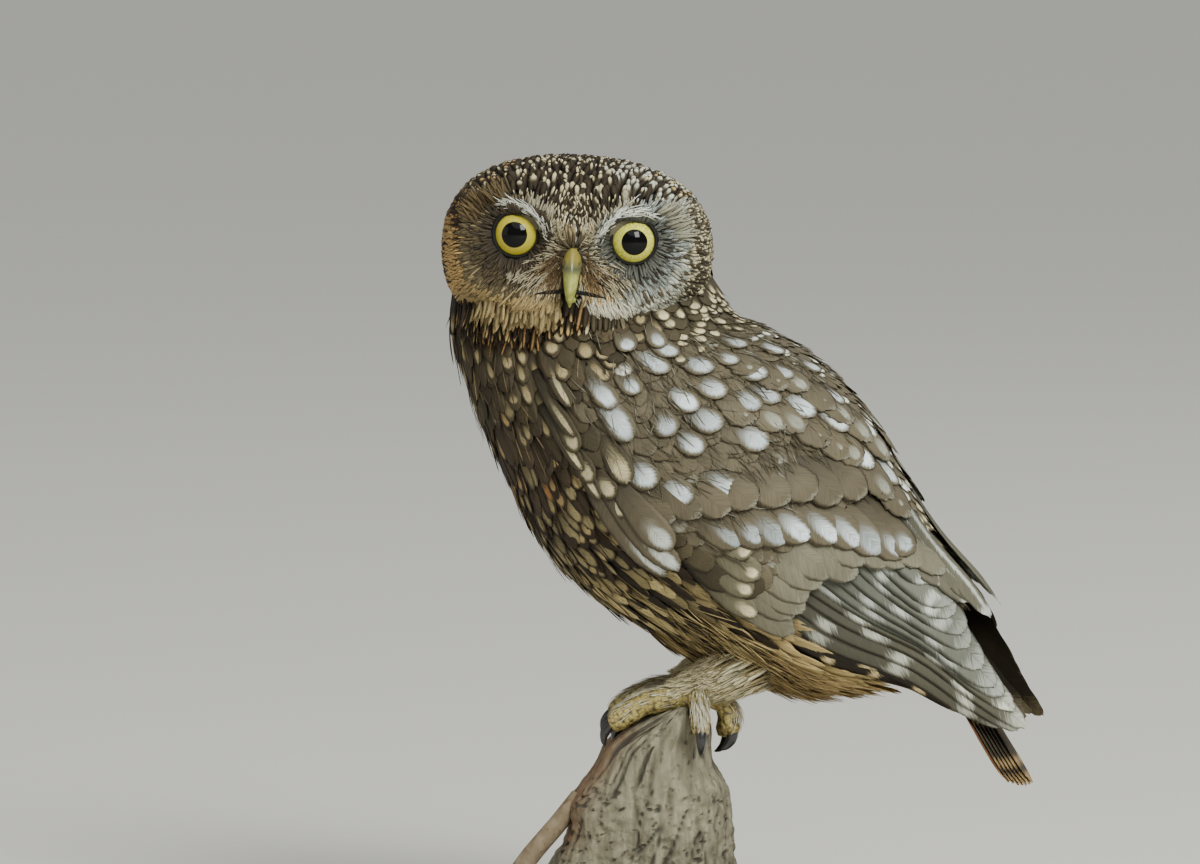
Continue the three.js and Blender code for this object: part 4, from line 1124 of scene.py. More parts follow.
def covert_tiers(side):
    """The wing's coverts and tertials, tier by tier, with the scapulars and the spotted feathers on top."""
    looks = look(12, (112, 107, 88), GREY, trait=(-1, 0, 0.35), vary=0.04)
    yield tier(side, looks, *PRIMARY_COVERTS)
    looks = look(4, (108, 102, 80), (222, 208, 168), (0.87, 0.42, 0.1), vary=0.04)
    yield tier(side, looks, *SPOTTED_PRIMARY_COVERTS)
    looks = look(9, OLIVE, FROST, (0.83, 0.46, 0.17), vary=0.05)
    looks["spot"][:, 1:] *= rng.uniform(0.6, 1.2, (9, 2))
    looks["mark"] *= rng.uniform(0.5, 1, (9, 1))
    yield tier(side, looks, *GREATER_COVERTS)
    looks = look(9, OLIVE, GREY, trait=(-1, 0, 0.4), vary=0.08)
    yield tier(side, looks, *MEDIAN_COVERTS)
    looks = look(4, (92, 88, 72), (190, 192, 182), trait=(0.25, 0, 0.9), vary=0.06)
    yield tier(side, looks, *TERTIALS)
    looks = look(3, OLIVE, (196, 200, 190), (0.82, 0.5, 0.16), vary=0.05)
    yield tier(side, looks, *BASTARD_WING)
    for count, lift, roots, tips in SCAPULARS:
        looks = look(count, OLIVE, (150, 150, 136), (0.82, 0.4, 0.16), (-1, 0, 0.3), vary=0.05)
        looks["spot"][:, 1:] *= rng.uniform(0.1, 1.0, (count, 1))
        yield tier(side, looks, roots, tips, [(0, 11), (1, 13)], (-0.9, lift), 0.1, 0.05, {"fray": 0.14})
    yield spotted_feathers(side)


def spotted_feathers(side):
    """Feathers that end in the large pale spots, each a little longer than its spot is."""
    along, around, width, length, bright = np.array(SPOTS).T
    width, length = 1.12 * width, 1.12 * length
    count = len(along)
    if side > 0:
        along = along + rng.normal(0, 1.2, count)
        around = np.maximum(around + rng.normal(0, 1.2, count), 7)
    ends = np.stack([along + length / 2 + 0.8, around * side], -1)
    whole = np.maximum(13.0, 1.3 * length + 7)
    starts = ends - np.stack([whole, 0 * whole], -1)
    starts[:, 1] += side * rng.normal(2.5, 2.0, count)
    half = width / 2 + 1.5
    looks = look(count, OLIVE, FROST, vary=0.04)
    dress(looks, around > 96, 1, OLIVE_DARK, CREAM)
    looks["mark"] = looks["mark"] * mix(0.3, 1.0, bright)[:, None]
    looks["spot"] = np.stack([1 - (length / 2 + 0.7) / whole, width / 2 / half, length / 2 / whole], -1)
    across, rise = vane_shape(count, 18, 9, root=0.5, widest=0.72, fray=0.08)
    lift = mix(-1.4, 0.95, rise**0.8) + 0.07 * each(half) * (1 - across**2)
    grid = lay_on_body(starts, ends, half, across, rise, lift)
    return batch(grid, across, rise, half, whole, looks, body_patch(starts), web=side)


def shoulder_coverts(side):
    """The small coverts and scapulars that cover the wing's root and its front edge."""
    roots = body_rows(np.arange(22, 92, 4.4), 12, 112, 4.6) * (1, side)
    a = np.abs(roots[:, 1])
    roots = roots[(a < wing_edge(roots[:, 0])[:, 0] - 3) & (a > mix(12, 30, step(roots[:, 0], 70, 92)))]
    roots = roots[~under_head(on_body(*roots.T, 0.0), -5)]
    looks = look(len(roots), OLIVE, GREY, vary=0.05)
    dress(looks, True, 0.2, OLIVE, GREY, trait=(-1, 0, 0.35))
    dress(looks, True, 0.1, OLIVE, GREY, (0.84, 0.34, 0.12))
    edge = np.abs(roots[:, 1]) > wing_edge(roots[:, 0])[:, 0] - 9
    dress(looks, edge, 1, OLIVE_DARK, vary=0.12)
    dress(looks, edge, 0.3, OLIVE_DARK, CREAM, (0.84, 0.34, 0.1))
    return body_feathers(roots, 14.5, 4.6, looks, -1.1, 0.1, 7, 0.06, crown=0.05, rows_cols=(9, 7))


def shoulder_strands(side):
    """Single barbs that have come loose from the coverts."""
    count = 900
    roots = np.column_stack([rng.uniform(24, 90, count), side * rng.uniform(10, 98, count)])
    looks = look(count, (108, 98, 74), vary=0.1)
    dress(looks, True, 0.15, (150, 148, 130))
    return body_feathers(roots, 6.5, 0.09, looks, 0.2, 0.9, 16, 0.25, 0.05, rows_cols=STRAND)


# edge paints the flight feathers' outer edges darker: partly their own dark edge, partly painted shadow of
# the gaps between them.
flight_coat = plumage("flight_feathers", 0.6, barbs=0.35, shaft=0.5, relief=0.2, edge=0.65)
covert_coat = plumage("wing_coverts", 0.68, barbs=0.6, shaft=0.2)
for side, name in ((-1, "left"), (1, "right")):
    flights = [flight_feathers(side)]
    vane_piece(f"flight_feathers_{name}", flights, flight_coat, "wing_plumage", f"wing_{name}")
    vane_piece(f"wing_coverts_{name}", list(covert_tiers(side)), covert_coat, "wing_plumage")
    small = [shoulder_coverts(side), shoulder_strands(side)]
    vane_piece(f"shoulder_coverts_{name}", small, covert_coat, "wing_plumage")

# Tail
# Twelve short tail feathers in a closed fan, one of the middle pair on top, brown with pale bars and
# tips, and set in the rump under its coverts.
TAIL_ROOT = np.array([60.6, 0, 100])
TAIL_TIP = np.array([93.5, 0, 47.5])
TAIL_HALF_WIDTH = 12.5
TAIL_WIDTH = 8.5
TAIL_FEATHERS = 12
tail_length = np.linalg.norm(TAIL_TIP - TAIL_ROOT)
tail_way = (TAIL_TIP - TAIL_ROOT) / tail_length
tail_up = np.array([-tail_way[2], 0, tail_way[0]])
order = np.arange(TAIL_FEATHERS) - (TAIL_FEATHERS - 1) / 2
out = each(order / order[-1])
across, along = vane_shape(TAIL_FEATHERS, 30, 9, root=0.4, widest=0.86, blunt=0.3, fray=0.05)
aside = (TAIL_HALF_WIDTH - TAIL_WIDTH / 2) * out * mix(0.35, 1, along) + across * TAIL_WIDTH / 2
reach = (tail_length - 3.5 * out**2) * along
fall = 0.62 * each(np.abs(order - 0.5)) + 0.2 * across * each(np.sign(order - 0.5))
rise = 0.25 * (1 - across**2) - fall
grid = TAIL_ROOT + reach[..., None] * tail_way + rise[..., None] * tail_up
grid[..., 1] += aside
looks = look(TAIL_FEATHERS, (56, 46, 31), (150, 124, 84), trait=(-1, 4.4, 0.9), vary=0.08)
dress(looks, np.abs(order) > 4.6, 1, (96, 62, 36), (176, 150, 108), trait=(-1, 0, 1))
tail = batch(grid, across, along, TAIL_WIDTH / 2, tail_length, looks, *atlas(TAIL_FEATHERS))
tail["vane"][..., 0] = 0.5 + 0.5 * np.abs(across)
vane_piece("tail_feathers", [tail], flight_coat, "wing_plumage", "tail")

# Head plumage
# Very small feathers, set very densely, that radiate from the bill over the crown to the nape, and
# narrow ones with bare tips that radiate from each eye over the flat facial disc.
FACE_VANE = (6, 3)
CROWN_PLACES = 3000
FACE_PLACES = 17000
LID_REACH = 7.2
BILL_ROOT = np.array([0, -27, 1.5])
DOWNWARD = np.array([0, 0, -1.0])


def tangent(vectors, normals):
    flat = vectors - (vectors * normals).sum(-1, keepdims=True) * normals
    return flat / np.maximum(np.linalg.norm(flat, axis=-1, keepdims=True), 1e-6)


def head_heading(points):
    """The way the plumage lies at points of the head: from the bill back, and round the eyes outward."""
    normals = unit(points)
    side = np.where(points[:, 0] < 0, -1, 1)
    eye = np.stack([side * EYE_APART / 2, np.full(len(points), -20.0), np.full(len(points), EYE_RISE)], -1)
    from_eye = np.linalg.norm(points - eye, axis=1, keepdims=True)
    near_eye = 2.2 * bell(from_eye, 13) * (points[:, 1:2] < 0)
    away = tangent(points - BILL_ROOT, normals) + near_eye * tangent(points - eye, normals)
    down = DOWNWARD * 1.4 * step(points[:, 1:2], 0, 26)
    return tangent(away + tangent(down, normals) * np.linalg.norm(down, axis=-1, keepdims=True), normals)


def swayed(headings, points, spread):
    turn = np.radians(rng.normal(0, spread, (len(points), 1)))
    return headings * np.cos(turn) + np.cross(unit(points), headings) * np.sin(turn)


def lay_on_head(points, headings, half, length, across, along, lift):
    sideways = np.cross(unit(points), headings)
    ahead = (along * each(length))[..., None] * headings[:, None, None]
    aside = (across * each(half))[..., None] * sideways[:, None, None]
    return head_to_world(on_head(points[:, None, None] + ahead + aside, lift))


def head_patch(points):
    turn = np.arctan2(points[:, 0], -points[:, 1]) / (2 * np.pi) + 0.5
    tilt = np.arccos(points[:, 2] / np.linalg.norm(points, axis=1)) / np.pi
    return np.stack([0.02 + 0.96 * turn, 0.56 + 0.42 * tilt], -1)


def clear_of_eyes(points, headings, length):
    """Lengths that end short of the eyes' rims."""
    tips = points + length[:, None] * headings
    far = eye_distance(tips[:, 0], tips[:, 2])
    near = (points[:, 1] < 0) & (far < LID_REACH)
    return np.where(near, length * np.clip((far / LID_REACH) ** 2, 0.25, 1) * 0.6, length)


def head_vanes(points, headings, half, length, looks, low, high, tuft, **shape):
    """A batch of small feathers of the head, with the heights of their roots and tips."""
    count = len(points)
    length = clear_of_eyes(points, headings, length)
    across, along = vane_shape(count, *FACE_VANE, fray=0.2, **shape)
    high = each(np.broadcast_to(high, count)) + each(rng.normal(0, tuft, count))
    lift = mix(low, high, along**0.9) + 0.25 * each(half) * (1 - across**2)
    grid = lay_on_head(points, headings, half, length, across, along, lift)
    return batch(grid, across, along, half, length, looks, head_patch(points))


def head_places(count):
    """Evenly scattered roots over the head, apart from eyes, bill, mouth and the neck's place."""
    number = np.arange(count) + 0.5
    height = 1 - 2 * number / count
    golden = np.pi * (1 + 5**0.5) * number
    flat = np.sqrt(1 - height**2)
    ways = np.stack([flat * np.cos(golden), flat * np.sin(golden), height], -1)
    points = on_head(ways + rng.normal(0, 0.25 / math.sqrt(count), ways.shape))
    x, y, z = points.T
    side = np.abs(x)
    eyes = eye_distance(x, z) < 6.9
    bill = (side < 2.6) & (z < -0.6) & (z > -14)
    mouth = (side < 9.5) & (np.abs(z + 10 + 1.7 * (side / 9.8) ** 2) < 1.5)
    _, _, deep = place_on_body(head_to_world(points))
    return points[~((y < -6) & (eyes | bill | mouth)) & ~((deep < 0.8) & (z < -8))]


def on_face(points):
    return (points[:, 1] < -2.5) & (points[:, 2] < 12.5 + 0.1 * np.abs(points[:, 0]))


def about(middle, spread):
    """Sizes that vary about a middle size."""
    return middle * (1 + spread * rng.normal(0, 1, len(middle)))


head_coat = plumage("head_feathers", 0.78, barbs=0.4, shaft=0.05)
points = head_places(CROWN_PLACES)
points = points[~on_face(points)]
behind = points[:, 1] > 5
crown = head_vanes(
    points,
    swayed(head_heading(points), points, 9),
    about(np.where(behind, 1.7, 1.2), 0.12),
    about(np.where(behind, 7.5, 5.6), 0.12),
    head_look(points),
    -1.2,
    np.where(behind, 0.5, 0.3),
    0.16,
)
vane_piece("crown_and_nape_feathers", [crown], head_coat, "head_plumage")
points = head_places(FACE_PLACES)
points = points[on_face(points)]
close = eye_distance(points[:, 0], points[:, 2]) < 11
face = head_vanes(
    points,
    swayed(head_heading(points), points, 9),
    about(np.where(close, 0.4, 0.55), 0.15),
    about(np.where(close, 3.6, 5.2), 0.14),
    head_look(points),
    -0.6,
    0.12,
    0.08,
    widest=0.5,
    blunt=0.08,
)
vane_piece("face_feathers", [face], head_coat, "head_plumage")

# Ruff
# Longer loose feathers at the head's lower edge, which hang over the neck all round.
# count, lowest and highest root, length, half width, stand-off, straightness, points, and turns about
# the head from the bill
RUFF = [
    (1500, -0.85, -0.42, 8.5, 0.95, 0.45, 0.6, FACE_VANE, (-180, 180)),
    (600, -0.9, -0.45, 7.5, 0.12, 0.6, 0.6, STRAND, (-180, 180)),
    (1000, -0.75, 0.05, 10.5, 1.45, 0.5, 0.5, FACE_VANE, (100, 238)),
]


def hanging(count, low, high, length, half, spread, straight, rows_cols, turns):
    """Vanes that hang from the head between two heights, clear of its surface below their roots."""
    turn = np.radians(rng.uniform(*turns, count))
    points = on_head(np.stack([np.sin(turn), -np.cos(turn), rng.uniform(low, high, count)], -1))
    flat = points * (1, 1, 0) / np.linalg.norm(points[:, :2], axis=1, keepdims=True)
    heading = mix(tangent(DOWNWARD + 0 * points, unit(points)), DOWNWARD + 0.08 * flat, straight)
    heading = unit(heading + rng.normal(0, 0.1, (count, 3)))
    sideways = unit(np.cross(flat, heading))
    outward = np.cross(heading, sideways)
    x, y, z = points.T
    beard = (y < -4) & (x < -3) & (z > -15.5) & (x > -27)
    length = length * (1 + 0.15 * rng.normal(0, 1, count)) * np.where(beard, 0.75, 1)
    half = half * (1 + 0.1 * rng.normal(0, 1, count))
    across, along = vane_shape(count, *rows_cols, fray=0.25)
    lift = mix(-1.0, each(rng.normal(spread, 0.25, count)), along) + 0.2 * each(half) * (1 - across**2)
    grid = points[:, None, None] + (along * each(length))[..., None] * heading[:, None, None]
    grid = grid + (across * each(half))[..., None] * sideways[:, None, None]
    grid = grid + lift[..., None] * outward[:, None, None]
    looks = look(count, UMBER, BUFF, (0.78, 0.4, 0.14), vary=0.2)
    dress(looks, True, 0.5, UMBER, vary=0.2)
    dress(looks, True, 0.15, UMBER, (150, 112, 62), trait=(0.35, 0, 0))
    dress(looks, beard, 1, (150, 130, 88), OLIVE_DARK, trait=(0.12, 0, 0), vary=0.16)
    right = (x > 6) | (y > 4)
    dress(looks, right, 1, OLIVE_DARK, vary=0.15)
    dress(looks, right, 0.4, OLIVE_DARK, CREAM, (0.78, 0.45, 0.16))
    dress(looks, right, 0.2, (128, 118, 90), UMBER, trait=(0.2, 0, 0))
    return batch(head_to_world(grid), across, along, half, length, looks, head_patch(points))


vane_piece("ruff_feathers", [hanging(*row) for row in RUFF], head_coat, "head_plumage")

# Strands of the face
# Hair-like feathers with bare shafts: the pale brows, the lores and bristles round the bill, and the soft
# puffs of the chin.
# Each row is a place in the face's plane and the way from it, both (x, z). LORE, BRISTLE and CHIN are
# for the side where x is positive, and the other side mirrors them.
BROW = [
    *((5.2, 3.0, 0.5, 1.0), (6.4, 5.0, 0.6, 1.0), (8.2, 8.6, 0.8, 0.8), (10.4, 11.2, 1.0, 0.55)),
    *((13.2, 13.0, 1.0, 0.3), (16.4, 14.2, 1.0, 0.15), (19.6, 14.8, 1.0, -0.05)),
]
FAR_BROW = [
    *((-6.2, 3.4, -0.5, 1.0), (-7.4, 6.0, -0.7, 1.0), (-9.6, 9.2, -0.9, 0.8)),
    *((-12.4, 11.6, -1.0, 0.45), (-15.4, 13.0, -1.0, 0.3), (-18.4, 14.2, -1.0, 0.35)),
]
CORNER_LEFT = [(-30, 9, -1.0, 0.5), (-29, 12, -1.0, 0.7), (-27.5, 15, -1.0, 0.9), (-25.5, 17.5, -0.9, 1.0)]
CORNER_RIGHT = [(28, 14, 1.0, 0.7), (29.5, 11, 1.0, 0.4), (30, 8, 1.0, 0.2)]
LORE = [(4.4, 1.0, 1.0, 0.25), (5.0, -2.0, 1.0, -0.35), (6.2, -4.5, 0.9, -0.8), (8.6, -5.4, 0.8, -0.9)]
BRISTLE = [(3.0, -0.5, 0.7, -0.9), (3.4, -3.5, 0.5, -1.0)]
CHIN = [
    *((4.5, -14.0, 0.3, -1.0), (8.0, -13.0, 0.45, -1.0), (11.5, -13.0, 0.6, -1.0)),
    *((6.0, -17.5, 0.25, -1.0), (10.0, -17.0, 0.4, -1.0), (14.0, -15.5, 0.6, -1.0)),
]


def mirrored(places):
    return [(-x, z, -ahead, up) for x, z, ahead, up in places]


def lid_places(side):
    """Places on the rim of one eye's lids, and the ways outward from its middle."""
    turn = whole_turn(44)
    ways = np.stack([np.cos(turn), np.sin(turn)], -1)
    # drawn out onto the head, the places move outward a little, so they are set inward here
    rim = (ways * 6.7 + (side * EYE_APART / 2, EYE_RISE)) * 0.97
    return np.column_stack([rim, ways])


def face_strands(places, spread, per_place, length, half, low, high, ground, mark):
    """Strands scattered about some places of the face."""
    places = np.repeat(np.array(places, float), per_place, axis=0)
    count = len(places)
    flat = places[:, :2] + rng.normal(0, spread, (count, 2))
    points = on_head(np.stack([flat[:, 0], np.full(count, -HEAD_HALVES["front"] * 0.9), flat[:, 1]], -1))
    way = tangent(np.stack([places[:, 2], 0 * places[:, 2], places[:, 3]], -1), unit(points))
    way = swayed(way, points, 11)
    looks = look(count, ground, mark, vary=0.12)
    length = clear_of_eyes(points, way, length * (1 + 0.16 * rng.normal(0, 1, count)))
    half = half * (1 + 0.2 * rng.normal(0, 1, count)).clip(0.5, 1.6)
    across, along = vane_shape(count, *STRAND, root=0.8, widest=0.35, blunt=0.05, fray=0.05)
    lift = mix(low, each(high + rng.normal(0, 0.3, count)), along) + 0.5 * each(half) * (1 - across**2)
    grid = lay_on_head(points, way, half, length, across, along, lift)
    return batch(grid, across, along, half, length, looks, head_patch(points))


# places, scatter, strands at each, length, half width, heights of roots and tips, ground and mark
# The strands where x is negative (the far brow, the mirrored chin, the left corner and the right eye's lids)
# are darker than their twins: partly their own colour, partly painted shade of that side of the face, which
# lies in shadow.
FACE_STRANDS = [
    (BROW, 0.7, 16, 4.8, 0.16, -0.2, 0.65, (227.4, 227.4, 212.1), UMBER),
    (FAR_BROW, 0.5, 13, 4.6, 0.14, -0.2, 0.6, (210.5, 210.5, 196.2), UMBER),
    (mirrored(LORE) + LORE, 1.3, 26, 5.6, 0.12, -0.3, 0.5, (190, 178, 146), UMBER),
    (mirrored(LORE) + LORE, 1.2, 12, 6.0, 0.1, -0.3, 0.7, UMBER, UMBER),
    (mirrored(BRISTLE) + BRISTLE, 0.8, 12, 7.0, 0.11, 0.1, 1.5, (112, 86, 54), TAWNY),
    (CHIN, 1.8, 46, 6.0, 0.2, -0.3, 0.8, (216, 210, 184), GREY),
    (mirrored(CHIN), 1.8, 46, 6.0, 0.2, -0.3, 0.8, (176, 152, 104), GREY),
    (lid_places(-1), 0.22, 5, 3.0, 0.34, -0.5, 0.3, (66, 56, 42), GREY),
    (lid_places(1), 0.22, 5, 3.0, 0.34, -0.5, 0.3, (92, 92, 84), GREY),
    (CORNER_LEFT, 1.4, 16, 6.0, 0.4, -0.5, 2.2, (92, 76, 48), TAWNY),
    (CORNER_RIGHT, 1.4, 16, 5.5, 0.4, -0.5, 1.6, (150, 146, 126), UMBER),
]
vane_piece("face_strands", [face_strands(*row) for row in FACE_STRANDS], head_coat, "head_plumage")

# Eyes
# Glassy eyeballs with a clear bulging front over a lemon-yellow iris and a black pupil, each set in the
# black leathery rim of its lids.
EYE_RADIUS = 7.6
EYE_DEPTH = 15.4
EYE_SPLAY = 8
CORNEA_REACH = 46  # degrees from the eye's axis
CORNEA_RISE = 0.75
PUPIL_SHARE = 0.59
IRIS_RADIUS = 5.8
# The right eye's iris is painted darker and more golden than the left one's: painted shade, as that side of
# the face lies in shadow. Both irises are the same lemon yellow.
IRIS_TONES_WITH_SHADE = {"right": (180, 158, 52), "left": (238, 242, 122)}
# radius about the eye's axis and depth in front of its middle
LID_PROFILE = [
    *((5.2, 3.6), (5.6, 4.95), (5.75, 5.4), (6.05, 5.6)),
    *((6.45, 5.4), (6.85, 4.7), (7.3, 3.4), (7.8, 1.8)),
]
HEAVY_LID = 0.06


def eye_rings(side, radii, depths):
    """Rings of points about the axis of one eye, in the head's frame and in the eye's own."""
    splay = math.radians(EYE_SPLAY) * side
    gaze = (math.sin(splay), -math.cos(splay), 0)
    across = (math.cos(splay), math.sin(splay), 0)
    turn = whole_turn(64)
    radii, depths = radii[:, None], depths[:, None] + 0 * turn
    own = np.stack([radii * np.cos(turn), radii * np.sin(turn), depths], -1)
    middle = np.array([side * EYE_APART / 2, -EYE_DEPTH, EYE_RISE])
    return middle + own @ np.array([across, (0, 0, 1), gaze]), own


iris_paint, tree, shader = new_material(
    "eye_glass", 0.5, Specular_IOR_Level=0.0, Coat_Weight=1.0, Coat_Roughness=0.02, Coat_IOR=1.28
)
x, y, z = parts(tree, read(tree, "eye", "Vector"))
share = x.maths("SQRT", x * x + y * y)
rays = node(tree, "CombineXYZ", {0: x.maths("ARCTAN2", y, x) * 9.0, 1: share * 4.0})
rays = speckle(tree, rays, 1.6, 3)
freckled = ((rays - 0.35).held() * 2.2).held()
colour = blend(tree, freckled, (186, 176, 60), read(tree, "iris", "Color"))
inner = ((share + (rays - 0.5) * 0.03 - PUPIL_SHARE) / 0.025).held()
outer = ((0.985 - share) / 0.09).held()
shown = inner * outer * x.maths("GREATER_THAN", z, 0)
give(shader, "Base Color", blend(tree, shown, (9, 8, 8), colour))
# The black skin of the lids, also used for the dark tube of painted shade along the mouth.
lid_and_mouth_shade_paint, tree, shader = new_material("lid_skin_and_mouth_shade", 0.6, Specular_IOR_Level=0.25)
grain = speckle(tree, None, 1400, 4)
give(shader, "Base Color", blend(tree, grain, (8, 8, 7), (24, 22, 20)))
rough(shader, grain, 0.5, 0.15)

angle = np.radians(np.linspace(1.5, 178, 60))
radius = EYE_RADIUS + CORNEA_RISE * np.clip(1 - (np.degrees(angle) / CORNEA_REACH) ** 2, 0, 1) ** 1.3
radii, depths = np.array(LID_PROFILE).T
for side, name in ((-1, "right"), (1, "left")):
    rings, own = eye_rings(side, radius * np.sin(angle), radius * np.cos(angle))
    eyeball = lofted(f"eyeball_{name}", head_to_world(rings))
    own = np.vstack([own.reshape(-1, 3), [(0, 0, EYE_RADIUS), (0, 0, -EYE_RADIUS)]]) / IRIS_RADIUS
    put(eyeball, "eye", own)
    put(eyeball, "iris", opaque(np.tile(tone(*IRIS_TONES_WITH_SHADE[name]), (len(own), 1))))
    keep(eyeball, iris_paint, "eye_gloss", f"eye_{name}")
    rings, own = eye_rings(side, radii, depths)
    heavier = HEAVY_LID * (own[..., 1] / radii[:, None]).clip(0, 1) * (radii[:, None] > 6)
    rings = rings + (rings - rings.mean(axis=1, keepdims=True)) * heavier[..., None]
    keep(lofted(f"lids_{name}", head_to_world(rings)), lid_and_mouth_shade_paint, "eye_gloss")

# Bill
# The hooked upper half with its cere and open nostrils, the lower half shut under it, and a dark tube
# along the mouth's line, from the bill back into the feathers of the cheeks: painted shade of the mouth's
# groove.
BILL_PATH = [(0, -20, 1), (0, -26, -0.6), (0, -29, -4.4), (0, -29.2, -9), (0, -27.4, -13.8)]
BILL_RADII = [
    *((0, 2.6, 2.4), (0.25, 2.9, 2.8), (0.5, 2.7, 2.7), (0.72, 2.1, 2.2)),
    *((0.88, 1.3, 1.4), (0.97, 0.55, 0.6), (1, 0.25, 0.25)),
]
LOWER_BILL_PATH = [(0, -19, -9.6), (0, -22.5, -11.4), (0, -25.2, -12.6)]
LOWER_BILL_RADII = [(0, 2.8, 1.6), (0.5, 2.4, 1.4), (0.85, 1.4, 1), (1, 0.5, 0.4)]
NOSTRIL = np.array([1.9, -28.6, -2.6])
MOUTH_HALF_WIDTH = 9.8
MOUTH_DROP = 9.8
MOUTH_RADII = [(0, 0.15, 0.2), (0.2, 0.55, 0.55), (0.8, 0.55, 0.55), (1, 0.15, 0.2)]
HORN = ((146, 150, 62), (190, 192, 104), (120, 122, 54))


def dark_and_light(name, roughness, scale, colours, bump, **settings):
    """A material of three colours spread by noise: the base, its lighter parts and its dark flecks."""
    material, tree, shader = new_material(name, roughness, **settings)
    place = object_place(tree)
    broad, fine = speckle(tree, place, scale, 4), speckle(tree, place, scale * 5, 4)
    colour = blend(tree, ((broad - 0.35) * 3).held(), colours[0], colours[1])
    colour = blend(tree, ((fine - 0.56) * 6).held(), colour, colours[2])
    rough(shader, fine + broad, 0.6, bump)
    give(shader, "Base Color", colour)
    return material, tree, shader, colour


bill_horn, tree, shader, colour = dark_and_light("bill_horn", 0.32, 500, HORN, 0.05, Coat_Weight=0.25)
colour = blend(tree, read(tree, "cere", "Fac"), colour, (136, 124, 58))
# Darker round the nostrils and in a band at the cere's lower edge.
give(shader, "Base Color", blend(tree, read(tree, "bill_dark_patches", "Fac"), colour, (52, 54, 52)))

sections = sweep(BILL_PATH, BILL_RADII, 36, (1, 0, 0), 60)
middles = sections.mean(axis=1, keepdims=True)
front = np.cross(unit(np.gradient(middles[:, 0], axis=0)), (1, 0, 0))[:, None]
off = sections - middles
radius = np.linalg.norm(off, axis=-1, keepdims=True)
ridge = np.clip((off * front).sum(-1, keepdims=True) / radius, 0, 1)
raised = 1 + 0.1 * ridge**4
sections = middles + off * np.concatenate([0.86 - 0.22 * ridge, raised, raised], -1)
far = np.linalg.norm(np.abs(sections * (1, 0, 0)) + sections * (0, 1, 1) - NOSTRIL, axis=-1, keepdims=True)
dent = 0.35 * bell(far - 1.25, 0.45) - bell(far, 0.75)
sections = sections + (sections - middles) / np.maximum(radius, 0.3) * dent
upper = lofted("upper_bill", head_to_world(sections))
z = sections[..., 2].ravel()
# darker round the nostrils and in a band at the cere's lower edge
put(upper, "bill_dark_patches", np.append(np.maximum(bell(far.ravel(), 1.1), 0.8 * bell(z + 3.4, 1.6)), (0, 0)))
put(upper, "cere", np.append(step(z, -4.4, -1.4), (1, 0)))
keep(upper, bill_horn, "bill_horn", "bill_upper")
lower = lofted("lower_bill", head_to_world(sweep(LOWER_BILL_PATH, LOWER_BILL_RADII, 28, (1, 0, 0), 24)))
for name in ("bill_dark_patches", "cere"):
    put(lower, name, np.zeros(len(lower.data.vertices)))
keep(lower, bill_horn, "bill_horn", "bill_lower")
# A dark tube along the mouth's line: painted shade of the groove between the bill and the cheeks.
shares = np.linspace(-1, 1, 25)
ways = np.stack([shares * MOUTH_HALF_WIDTH, 0 * shares - 24, -MOUTH_DROP - 1.7 * shares**2], -1)
edges = sweep(on_head(ways, 0 * shares + 0.1), MOUTH_RADII, 10, (0, 1, 0), 40)
keep(lofted("mouth_groove_shade", head_to_world(edges)), lid_and_mouth_shade_paint, "bill_horn")

# Legs
# Thighs and shanks covered down to the toes in short cream feathers and hair-like strands, faintly
# streaked with brown.
# count, length, half width, heights of roots and tips, and the share of the leg where they start
LEG_COAT = [(1000, 6.0, 0.62, -1.0, 0.1, 0.2), (1500, 5.5, 0.17, -0.4, 0.7, 0.4)]
LEG_END = 0.93


def tube_points(tube, shares, turns, lift):
    """Points over a tube like that of sweep, at shares of its path and turns about it, in radians."""
    path, radii, across = tube
    radii = np.array(radii, float)
    held = np.clip(shares, 0, 1)
    middle, ahead, sideways, down = tube_frame(path, across, held, 0.02)
    middle = middle + ahead * ((shares - held) * curve_along(path)[1])[..., None]
    wide, deep = (np.interp(held, radii[:, 0], radii[:, k]) + lift for k in (1, 2))
    return middle + sideways * (wide * np.cos(turns))[..., None] + down * (deep * np.sin(turns))[..., None]


def tube_vanes(tube, shares, turns, length, half, low, high, looks, patches):
    """Narrow vanes that lie along a tube, from the given shares and turns on."""
    count = len(shares)
    path, radii, _ = tube
    length = length * (1 + 0.12 * rng.normal(0, 1, count))
    half = half * (1 + 0.1 * rng.normal(0, 1, count))
    across, along = vane_shape(count, *STRAND, fray=0.2)
    wide = np.interp(shares, *np.array(radii)[:, :2].T)
    sway = each(rng.normal(0, 0.12, count))
    at = each(shares) + along * each(length / curve_along(path)[1])
    turn = each(turns) + (across * each(half) + sway * along * each(length)) / (each(wide) + 0.5)
    lift = mix(low, high + each(rng.normal(0, 0.25, count)), along) + 0.2 * each(half) * (1 - across**2)
    return batch(tube_points(tube, at, turn, lift), across, along, half, length, looks, patches)


leg_coat = plumage("leg_feathers", 0.8, barbs=0.5, shaft=0.1)
batches = []
for side in (-1, 1):
    for count, length, half, low, high, start in LEG_COAT:
        shares = start + (LEG_END - start) * rng.random(count) ** 0.8
        turns = rng.random(count) * 2 * np.pi
        looks = look(count, (236, 224, 184), (120, 104, 74), vary=0.1)
        dress(looks, True, 0.2, (200, 184, 138), OLIVE_DARK, trait=(0.2, 0, 0))
        dress(looks, True, 0.08, (160, 144, 104))
        patches = np.stack([0.7 + 0.1 * side + 0.08 * shares, 0.2 + 0.04 * turns], -1)
        leg = (leg_path(side), LEG_RADII, (0, 1, 0))
        batches.append(tube_vanes(leg, shares, turns, length, half, low, high, looks, patches))
vane_piece("leg_feathers", batches, leg_coat, "leg_plumage")

# Feet
# Four toes on each foot gripping the perch, with yellow pebbled skin, rings of small shields, soft pads
# underneath, black hooked claws, and pale bristles along their tops.
FOOT_SPREAD = 13.5
FOOT_MIDDLE = (2.4, 70.4)
PALM_HALVES = (5.6, 5, 3.9)
